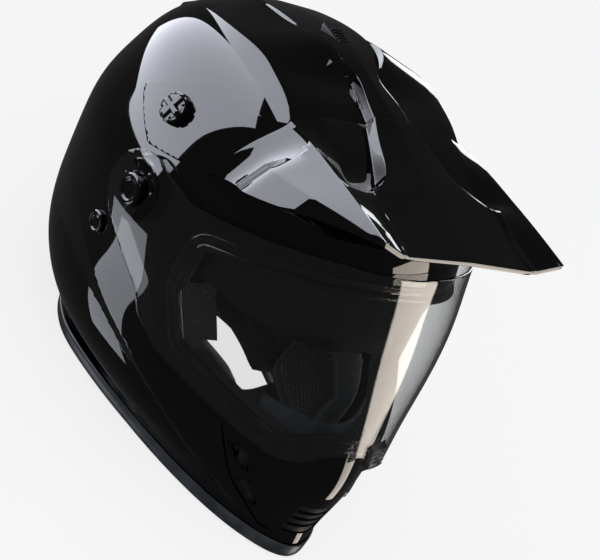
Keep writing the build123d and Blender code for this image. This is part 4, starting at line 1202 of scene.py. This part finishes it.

# Chin vents: a sunk plate with a slanting fin and two leaning slots cut through it, their edges sunk in
vent = {"sunk": 0.9, "thick": 3.2, "slots": [(149, 42), (158, 21)], "slotWidth": 8, "slotHeight": 14, "lean": 9,
        "finProud": 1.6, "finLow": 35, "finRise": 20, "finThick": 2.6, "finSlope": 1.6, "lip": 1.4, "fade": 2.5,
        "play": 0.35, "lipDepth": 1.0}


def slotField(forward, up):
    best = np.full(len(forward), 99.0)
    for f, u in vent["slots"]:
        w, h, lean = vent["slotWidth"] / 2, vent["slotHeight"], vent["lean"]
        corners = [(f - w, u), (f + w, u), (f + w - lean, u + h), (f - w - lean, u + h)]
        best = np.minimum(best, distanceTo(roundOff(corners, 2))(forward, up))
    return best


def makeChinVent(side, word):
    bm = skinMesh(-vent["sunk"], *fineness["vent"])
    cutAlong(bm, lambda a, f, u: -side * a, drop=True)
    cutAlong(bm, lambda a, f, u: -inChinVent(-vent["play"])(a, f, u), drop=True)

    def finField(across, forward, up):      # 0 on the fin's two long edges
        low = vent["finLow"] + vent["finRise"] * (chinVent["tip"] - forward) / (chinVent["tip"] - chinVent["rear"])
        return np.abs(up - low - vent["finThick"] / 2) - vent["finThick"] / 2
    cutAlong(bm, finField, crease=True)
    cutAlong(bm, lambda a, f, u: finField(a, f, u) - vent["finSlope"])
    cutAlong(bm, lambda a, f, u: vent["lip"] - slotField(f, u))
    cutAlong(bm, lambda a, f, u: -slotField(f, u), drop=True)
    spots, facing = spotsAndNormals(bm)
    a, f, u = spots[:, 0], -spots[:, 1], spots[:, 2] - form["rimDrop"]
    fade = vent["fade"]
    edge = np.clip(-chinField(f, u) / fade, 0, 1) * np.clip((np.abs(a) - chinVent["inner"]) / fade, 0, 1)
    out = (vent["sunk"] + vent["finProud"]) * np.clip(1 - finField(a, f, u) / vent["finSlope"], 0, 1) * edge
    sunk = -vent["lipDepth"] * np.clip(1 - slotField(f, u) / vent["lip"], 0, 1)
    putBack(bm, spots + facing * (out + sunk)[:, None])
    plate = pieceFrom(f"chin_vent_plate_{word}", meshOf(bm, "plate"), "gloss")
    thicken(plate, vent["thick"])
    sharpen(plate, 35)
    handOver(plate, "helmet", "satin_black", f"chin_vent_{word}")


for side, word in sides:
    makeChinVent(side, word)
print("chin vents made")

# Soft pieces: the CAD solid's form, filled out by a cloth simulation and then sewn in along its seams
cheekPad = {"finish": "jersey", "panel": "mesh", "voxel": 4.5, "shrink": 1.6, "most": 5, "fill": 0.7,
            "seam": 11, "seamWidth": 3.2, "seamDepth": 2.4}
soft = {
    "cheek_pad_left": cheekPad,
    "cheek_pad_right": cheekPad,
    "comfort_liner": {"finish": "jersey", "panel": "mesh", "voxel": 4.0, "shrink": 1.0, "most": 5, "fill": 0.5,
                      "ribs": (-62, -30, 30, 62), "seamWidth": 4, "seamDepth": 2.2},
    "neck_roll": {"finish": "jersey", "voxel": 4.5, "shrink": 1.4, "most": 5, "fill": 0.6,
                  "seamWidth": 3, "seamDepth": 1.8, "level": 24},
}
cloth = {"pressure": 4.0, "frames": 20, "quality": 5, "stiff": 8.0, "weight": 0.15, "quickShare": 1.5,
         "faceShare": 0.45}


def spotsOf(mesh):
    flat = np.empty(len(mesh.vertices) * 3)
    mesh.vertices.foreach_get("co", flat)
    return flat.reshape(-1, 3)


def normalsOf(mesh):
    flat = np.empty(len(mesh.vertices) * 3)
    mesh.vertex_normals.foreach_get("vector", flat)
    return flat.reshape(-1, 3)


def moveTo(mesh, spots):
    mesh.vertices.foreach_set("co", spots.ravel())
    mesh.update()


# Neighbour average of values on a mesh's points, a few times over
def smoothOver(mesh, values, times):
    ends = np.empty(len(mesh.edges) * 2, dtype=np.int64)
    mesh.edges.foreach_get("vertices", ends)
    a, b = ends[::2], ends[1::2]
    count = np.bincount(ends, minlength=len(values)).astype(float)[:, None]
    for _ in range(times):
        total = np.zeros_like(values)
        np.add.at(total, a, values[b])
        np.add.at(total, b, values[a])
        values = (values + total / np.maximum(count, 1)) / 2
    return values


# How far in (0 to 1) the seams draw each point of a soft piece, and where its inner panel lies
def seamPull(node, spots, normals, values):
    across, up = spots[:, 0] / mm, spots[:, 2] / mm
    if "seam" in values:                     # a ring at a fixed distance inside the pad's outline
        side = 1 if node.endswith("left") else -1
        inner = -side * normals[:, 0]
        ring = spots[np.abs(inner) < cloth["faceShare"]][:, 1:]
        face = inner > cloth["faceShare"]
        far = np.full(len(spots), 0.0)
        found = np.where(face)[0]
        for chunk in np.array_split(found, max(1, len(found) // 500)):
            far[chunk] = np.sqrt(((spots[chunk][:, None, 1:] - ring[None]) ** 2).sum(2)).min(1) / mm
        pull = np.clip(1 - np.abs(far - values["seam"]) / values["seamWidth"], 0, 1)
        return pull * face, far > values["seam"]
    if "ribs" in values:                     # channels from brow to nape
        far = np.min([np.abs(across - x) for x in values["ribs"]], axis=0)
        toHead = ((np.array((0, 0, 0.13)) - spots) * normals).sum(1) > 0
        pull = np.clip(1 - far / values["seamWidth"], 0, 1) * toHead
        return pull, (np.abs(across) < values["ribs"][-2]) & toHead
    far = np.abs(up - values["level"])
    return np.clip(1 - far / values["seamWidth"], 0, 1), np.zeros(len(spots), bool)


def makeSoft(node, values):
    piece = pieceFrom(f"{node}_sewn", cad[node].data.copy(), values["finish"])
    reshape(piece, lambda bm: bmesh.ops.remove_doubles(bm, verts=bm.verts, dist=0.005 * mm))
    remesh = piece.modifiers.new("even quads", "REMESH")
    remesh.mode, remesh.voxel_size = "VOXEL", values["voxel"] * mm
    bake(piece)
    start = smoothOver(piece.data, spotsOf(piece.data), 1)
    moveTo(piece.data, start)
    start = start - normalsOf(piece.data) * values["shrink"] * mm
    moveTo(piece.data, start)
    puff = piece.modifiers.new("padding", "CLOTH")
    puff.settings.use_pressure, puff.settings.uniform_pressure_force = True, cloth["pressure"]
    puff.settings.effector_weights.gravity = 0
    puff.settings.quality, puff.settings.mass = cloth["quality"], cloth["weight"]
    puff.settings.tension_stiffness = puff.settings.compression_stiffness = cloth["stiff"]
    puff.point_cache.frame_start, puff.point_cache.frame_end = 1, cloth["frames"]
    for moment in range(1, cloth["frames"] + 1):
        bpy.context.scene.frame_set(moment)
    bake(piece)
    bpy.context.scene.frame_set(1)
    swollen = spotsOf(piece.data)
    moved = swollen - start
    far = np.linalg.norm(moved, axis=1)[:, None]
    moved *= np.minimum(1, values["most"] * mm / np.maximum(far, 1e-9))
    moveTo(piece.data, start + smoothOver(piece.data, moved, 2))
    finer = piece.modifiers.new("finer", "SUBSURF")
    finer.levels = finer.render_levels = 1
    bake(piece)
    spots, normals = spotsOf(piece.data), normalsOf(piece.data)
    pull, panel = seamPull(node, spots, normals, values)
    moveTo(piece.data, spots - normals * (pull ** 0.7 * values["seamDepth"] * mm)[:, None])
    piece.data.materials.clear()
    piece.data.materials.append(finish[values["finish"]])
    if "panel" in values:
        piece.data.materials.append(finish[values["panel"]])
        corners = np.empty(len(piece.data.polygons) * 4, dtype=np.int64)
        piece.data.polygons.foreach_get("vertices", corners)
        piece.data.polygons.foreach_set("material_index", panel[corners.reshape(-1, 4)].all(1).astype(np.int32))
    piece.data.shade_smooth()
    handOver(piece, "helmet", "fabric", node)
    return piece


for node, values in soft.items():
    made = makeSoft(node, values)
    print("padded:", node, len(made.data.polygons), "faces")

# Chin straps: flat webbing with its own UV map in millimetres, and box stitching at the loop
strap = {"width": 24, "thickness": 2, "forward": 36, "start": (71.9, 15), "turn": (51.9, 5.5), "endLeft": 30,
         "endRight": -4, "endUp": 9, "bend": 25, "steps": 10, "selvedge": 0.5, "sewn": 7, "threadOff": 0.1}


# Points of a path in (across, up), its corner rounded to a radius
def strapPath(side):
    end = strap["endLeft"] if side > 0 else -strap["endRight"]
    a, b, c = Vector(strap["start"]), Vector(strap["turn"]), Vector((end, strap["endUp"]))
    into, out = (b - a).normalized(), (c - b).normalized()
    cut = strap["bend"] * math.tan(into.angle(out) / 2)
    points = [a.lerp(b - into * cut, t / 6) for t in range(6)]
    for s in range(strap["steps"] + 1):
        t = s / strap["steps"]
        points.append((1 - t) ** 2 * (b - into * cut) + 2 * t * (1 - t) * b + t * t * (b + out * cut))
    points += [(b + out * cut).lerp(c, t / 8) for t in range(1, 9)]
    return [Vector((side * p.x, p.y)) for p in points]


def makeStrap(side, word):
    path = strapPath(side)
    half, thick = strap["width"] / 2, strap["thickness"] / 2
    thin = strap["selvedge"]
    upper = [(-half, 0), (-half + thin, thick * 0.85), (-half + 2 * thin, thick), (0, thick),
             (half - 2 * thin, thick), (half - thin, thick * 0.85)]
    profile = upper + [(-a, -b) for a, b in upper]
    bm = bmesh.new()
    uv = bm.loops.layers.uv.new("weave")
    rings, run, before = [], 0.0, path[0]
    for i, p in enumerate(path):
        ahead = (path[min(i + 1, len(path) - 1)] - path[max(i - 1, 0)]).normalized()
        out = Vector((-ahead.y, ahead.x))
        run += (p - before).length
        before = p
        ring = [bm.verts.new(place(p.x + out.x * b, strap["forward"] + a, p.y + out.y * b)) for a, b in profile]
        rings.append((run, ring))
    around = [0.0]
    for (a, b), (c, d) in zip(profile, profile[1:] + profile[:1]):
        around.append(around[-1] + math.hypot(c - a, d - b))
    n = len(profile)
    for (u, one), (v, two) in zip(rings, rings[1:]):
        for k in range(n):
            m = (k + 1) % n
            face = bm.faces.new((one[k], one[m], two[m], two[k]))
            spots = ((around[k], u), (around[k + 1], u), (around[k + 1], v), (around[k], v))
            for corner, spot in zip(face.loops, spots):
                corner[uv].uv = spot
    for ring in (rings[0][1], rings[-1][1]):
        bm.faces.new(ring)
    bmesh.ops.recalc_face_normals(bm, faces=bm.faces)
    web = pieceFrom(f"chin_strap_web_{word}", meshOf(bm, f"chin_strap_web_{word}"), "webbing")
    return sharpen(web, 50), path


# Geometry Nodes: stitches of thread laid along a polyline, a few dozen faces each
def stitchTree(name):
    tree, given = startTree(name, ("Geometry", "Pitch", "Length", "Thread", "Material"))
    line = addNode(tree, "GeometryNodeMeshToCurve", {"Mesh": given["Geometry"]})
    dots = addNode(tree, "GeometryNodeCurveToPoints", {
        "Curve": line, "Length": given["Pitch"]}, mode="LENGTH")
    points = {"Points": dots.outputs["Points"], "Rotation": dots.outputs["Rotation"]}
    return closeTree(tree, ballsOn(tree, points, 8, 6, given["Thread"], given["Length"]), given["Material"])


stitch = {"pitch": 3.2, "length": 1.2, "thread": 0.35, "inset": 3}
stitching = stitchTree("rows of stitches")


# Stitches along lines of points (metres), as one plain mesh
def sew(name, lines):
    mesh = bpy.data.meshes.new(name)
    points, edges = [], []
    for line in lines:
        edges += [(len(points) + i, len(points) + i + 1) for i in range(len(line) - 1)]
        points += [tuple(p) for p in line]
    mesh.from_pydata(points, edges, [])
    piece = grown(name, stitching, {
        "Pitch": stitch["pitch"] * mm, "Length": stitch["length"] * mm, "Thread": stitch["thread"] * mm,
        "Material": finish["thread"]}, "thread", mesh)
    return handOver(piece, "helmet", "webbing")


def makeStraps():
    for side, word in sides:
        web, path = makeStrap(side, word)
        handOver(web, "helmet", "webbing", f"chin_strap_{word}")
        lines, half = [], strap["width"] / 2 - stitch["inset"]
        for face in (1, -1):
            rows = [p + Vector((0, face * (strap["thickness"] / 2 + strap["threadOff"])))
                    for p in path[-strap["sewn"]:]]
            for a in (-half, half):
                lines.append([place(p.x, strap["forward"] + a, p.y) for p in rows])
            for p in (rows[0], rows[-1]):
                lines.append([place(p.x, strap["forward"] + a, p.y) for a in (-half, half)])
            for a in (-half, half):             # the two diagonals of the box
                lines.append([place(rows[0].x, strap["forward"] + a, rows[0].y),
                              place(rows[-1].x, strap["forward"] - a, rows[-1].y)])
        sew(f"strap_stitches_{word}", lines)


makeStraps()
print("straps sewn")

# Chin curtain: a strip of cloth stretched round the front of the neck opening, with soft ripples across it
curtain = {"outer": -3.3, "wide": 18, "up": 16.8, "rear": 118, "thickness": 1.2, "ripple": 0.7, "waves": 34,
           "wavesOver": 60, "across": 9}


def outlineAt(grow, up):
    grid = formGrid(grow, *fineness["curtain"])
    row = int(np.argmin(abs(grid[:, 0, 2] - up)))
    return grid[row]


def makeCurtain():
    outer = outlineAt(curtain["outer"], curtain["up"])
    inner = outlineAt(curtain["outer"] - curtain["wide"], curtain["up"])
    ahead = [i for i in range(len(outer)) if max(outer[i][1], inner[i][1]) <= -curtain["rear"] - 1]
    ahead.sort(key=lambda i: outer[i][0])
    points = []
    for i in ahead:
        for share in np.linspace(0, 1, curtain["across"]):
            spot = outer[i] * (1 - share) + inner[i] * share
            wave = math.sin(curtain["waves"] * spot[0] / curtain["wavesOver"]) * math.sin(math.pi * share)
            spot[2] = curtain["up"] + curtain["ripple"] * wave
            points.append(tuple(spot * mm))
    cloth = meshFrom("chin_curtain_cloth", points, gridFaces(len(ahead), curtain["across"]), "jersey")
    finer = cloth.modifiers.new("finer", "SUBSURF")
    finer.levels = finer.render_levels = 1
    bake(cloth)
    area = sum(face.area for face in cloth.data.polygons)
    thicken(cloth, curtain["thickness"])
    handOver(cloth, "helmet", "fabric", "chin_curtain")
    return area


print("chin curtain area, m2:", round(makeCurtain(), 4))

# CAD nodes whose shape is right keep it and get the finish they are made in
dressed = {
    "eps_liner": "foam", "chin_bar_eps": "foam", "breath_guard": "rubber", "visor_pin_left": "nylon",
    "visor_pin_right": "nylon", "sun_visor_lever": "nylon", "top_vent_slider": "nylon", "rear_vent": "gloss",
    "mouth_vent_grille": "nylon", "mouth_vent_shutter": "nylon", "strap_anchor_left": "steel",
    "strap_anchor_right": "steel", "d_rings": "steel"}
for node, piece in cad.items():
    slots = piece.material_slots
    if not slots:
        piece.data.materials.append(None)
    for slot in piece.material_slots:
        slot.material = finish[dressed.get(node, "nylon")]
print("CAD nodes dressed:", len(dressed))

# Camera at the photograph's angle, worked out from mirrored pairs of points on the helmet
lensSet = {"right": (0.74549172, -0.44326052, 0.49775718), "down": (0.08394996, -0.6784126, -0.72986899),
           "view": (0.66120685, 0.58589799, -0.46853927), "centre": (0, -0.040, 0.137), "far": 1.549927,
           "focal": 136.69, "shiftX": 0.01138, "shiftY": -0.02217}
eye = bpy.data.objects.new("camera", bpy.data.cameras.new("camera"))
bpy.context.scene.collection.objects.link(eye)
turned = Matrix((lensSet["right"], -Vector(lensSet["down"]), -Vector(lensSet["view"]))).transposed().to_4x4()
turned.translation = Vector(lensSet["centre"]) - Vector(lensSet["view"]) * lensSet["far"]
eye.matrix_world = turned
eye.data.sensor_width, eye.data.lens, eye.data.clip_end = 36, lensSet["focal"], 100
eye.data.shift_x, eye.data.shift_y = lensSet["shiftX"], lensSet["shiftY"]
bpy.context.scene.camera = eye

# Studio: white paper under and round the helmet
studio = {"paper": "#ffffff", "shadow": 0.22, "glossShare": 0.05, "ambient": 0.55, "half": 4.0,
          "middle": (0, -0.04, 0.16)}


# Backdrop white for the camera, also through clear parts, and dark in anything that mirrors it
def whitePaper(tree):
    path = addNode(tree, "ShaderNodeLightPath").outputs
    clear = addNode(tree, "ShaderNodeMath", {
        0: path["Is Camera Ray"], 1: path["Is Transmission Ray"]}, operation="MAXIMUM")
    mirrored = addNode(tree, "ShaderNodeMath", {0: path["Glossy Depth"], 1: 0.5}, operation="GREATER_THAN")
    return path, clear, mirrored


def makeFloor():
    half = studio["half"]
    corners = [(-half, -half, 0), (half, -half, 0), (half, half, 0), (-half, half, 0)]
    mesh = bpy.data.meshes.new("studio_floor")
    mesh.from_pydata(corners, [], [(0, 1, 2, 3)])
    floor = bpy.data.objects.new("studio_floor", mesh)
    bpy.context.scene.collection.objects.link(floor)
    material, tree = newMaterial("white_paper")
    path, clear, mirrored = whitePaper(tree)
    plain = addNode(tree, "ShaderNodeBsdfDiffuse", {"Color": linear(studio["paper"])})
    glow = addNode(tree, "ShaderNodeEmission", {"Color": (1, 1, 1, 1), "Strength": 1.0})
    dim = addNode(tree, "ShaderNodeEmission", {"Color": (1, 1, 1, 1), "Strength": studio["glossShare"]})
    share = addNode(tree, "ShaderNodeMapRange", {
        "Value": path["Is Camera Ray"], "To Min": 1.0, "To Max": 1 - studio["shadow"]})
    white = addNode(tree, "ShaderNodeMixShader", {0: share, 1: plain, 2: glow})
    seen = addNode(tree, "ShaderNodeMixShader", {0: clear, 1: plain, 2: white})
    whole = addNode(tree, "ShaderNodeMixShader", {0: mirrored, 1: seen, 2: dim})
    addNode(tree, "ShaderNodeOutputMaterial", {"Surface": whole})
    mesh.materials.append(material)
    floor.visible_glossy = floor.visible_shadow = False     # a softbox may hang lower than the floor


def makeWorld():
    world = bpy.data.worlds.new("studio")
    world.use_nodes = True
    world.node_tree.nodes.clear()
    tree = world.node_tree
    _, clear, mirrored = whitePaper(tree)
    level = addNode(tree, "ShaderNodeMapRange", {
        "Value": clear, "To Min": studio["ambient"], "To Max": 1.0})
    share = addNode(tree, "ShaderNodeMapRange", {
        "Value": mirrored, "To Min": level, "To Max": studio["glossShare"]})
    back = addNode(tree, "ShaderNodeBackground", {"Color": (1, 1, 1, 1), "Strength": share})
    addNode(tree, "ShaderNodeOutputWorld", {"Surface": back})
    bpy.context.scene.world = world


# Softboxes are seen only in gloss; the plain lamp lights what is matt
lamps = {
    "softbox_behind": {"towards": (-0.485, 0.875, 0), "far": 1.6, "rise": 1.44, "size": (2.3, 3.4), "level": 5.6,
                       "colour": "#e3e7f2", "gloss": True},
    "softbox_front": {"towards": (0.775, -0.628, 0), "far": 1.5, "rise": -0.25, "size": (0.60, 1.5), "level": 4.4,
                      "colour": "#fdf1e4", "gloss": True},
    "strip_left": {"towards": (0.80, 0.58, 0), "far": 1.6, "rise": 0.05, "size": (0.30, 0.7), "level": 3.4,
                   "colour": "#e9ecf2", "gloss": True},
    "strip_low": {"towards": (-0.80, 0.45, 0), "far": 1.2, "rise": -1.15, "size": (0.5, 0.9), "level": 3.0,
                  "colour": "#d5dae2", "gloss": True},
    "strip_above": {"towards": (0.55, -0.84, 0), "far": 1.2, "rise": 3.0, "size": (1.6, 0.9), "level": 3.0,
                    "colour": "#f4f4f6", "gloss": True},
    "plain_lamp": {"towards": (-0.45, -0.62, 0), "far": 1.7, "rise": 1.4, "size": (1.4, 1.4), "level": 2.2,
                   "colour": "#ffffff", "gloss": False},
}


# A lamp's level is its radiance: what a mirror there would show
def makeLamp(name, given):
    data = bpy.data.lights.new(name, "AREA")
    data.shape, (data.size, data.size_y) = "RECTANGLE", given["size"]
    data.color = linear(given["colour"])[:3]
    data.energy = given["level"] * math.pi * given["size"][0] * given["size"][1]
    lamp = bpy.data.objects.new(name, data)
    bpy.context.scene.collection.objects.link(lamp)
    towards = Vector(given["towards"]).normalized()
    lamp.location = Vector(studio["middle"]) + Vector((0, 0, given["rise"])) + towards * given["far"]
    lamp.rotation_mode = "QUATERNION"
    lamp.rotation_quaternion = (towards if given["gloss"] else lamp.location).to_track_quat("Z", "Y")
    lamp.visible_camera = False
    lamp.visible_transmission = given["gloss"]
    lamp.visible_diffuse, lamp.visible_glossy = not given["gloss"], given["gloss"]


makeFloor()
makeWorld()
for name, given in lamps.items():
    makeLamp(name, given)
bpy.context.scene.view_settings.view_transform = "Standard"
print("studio made")
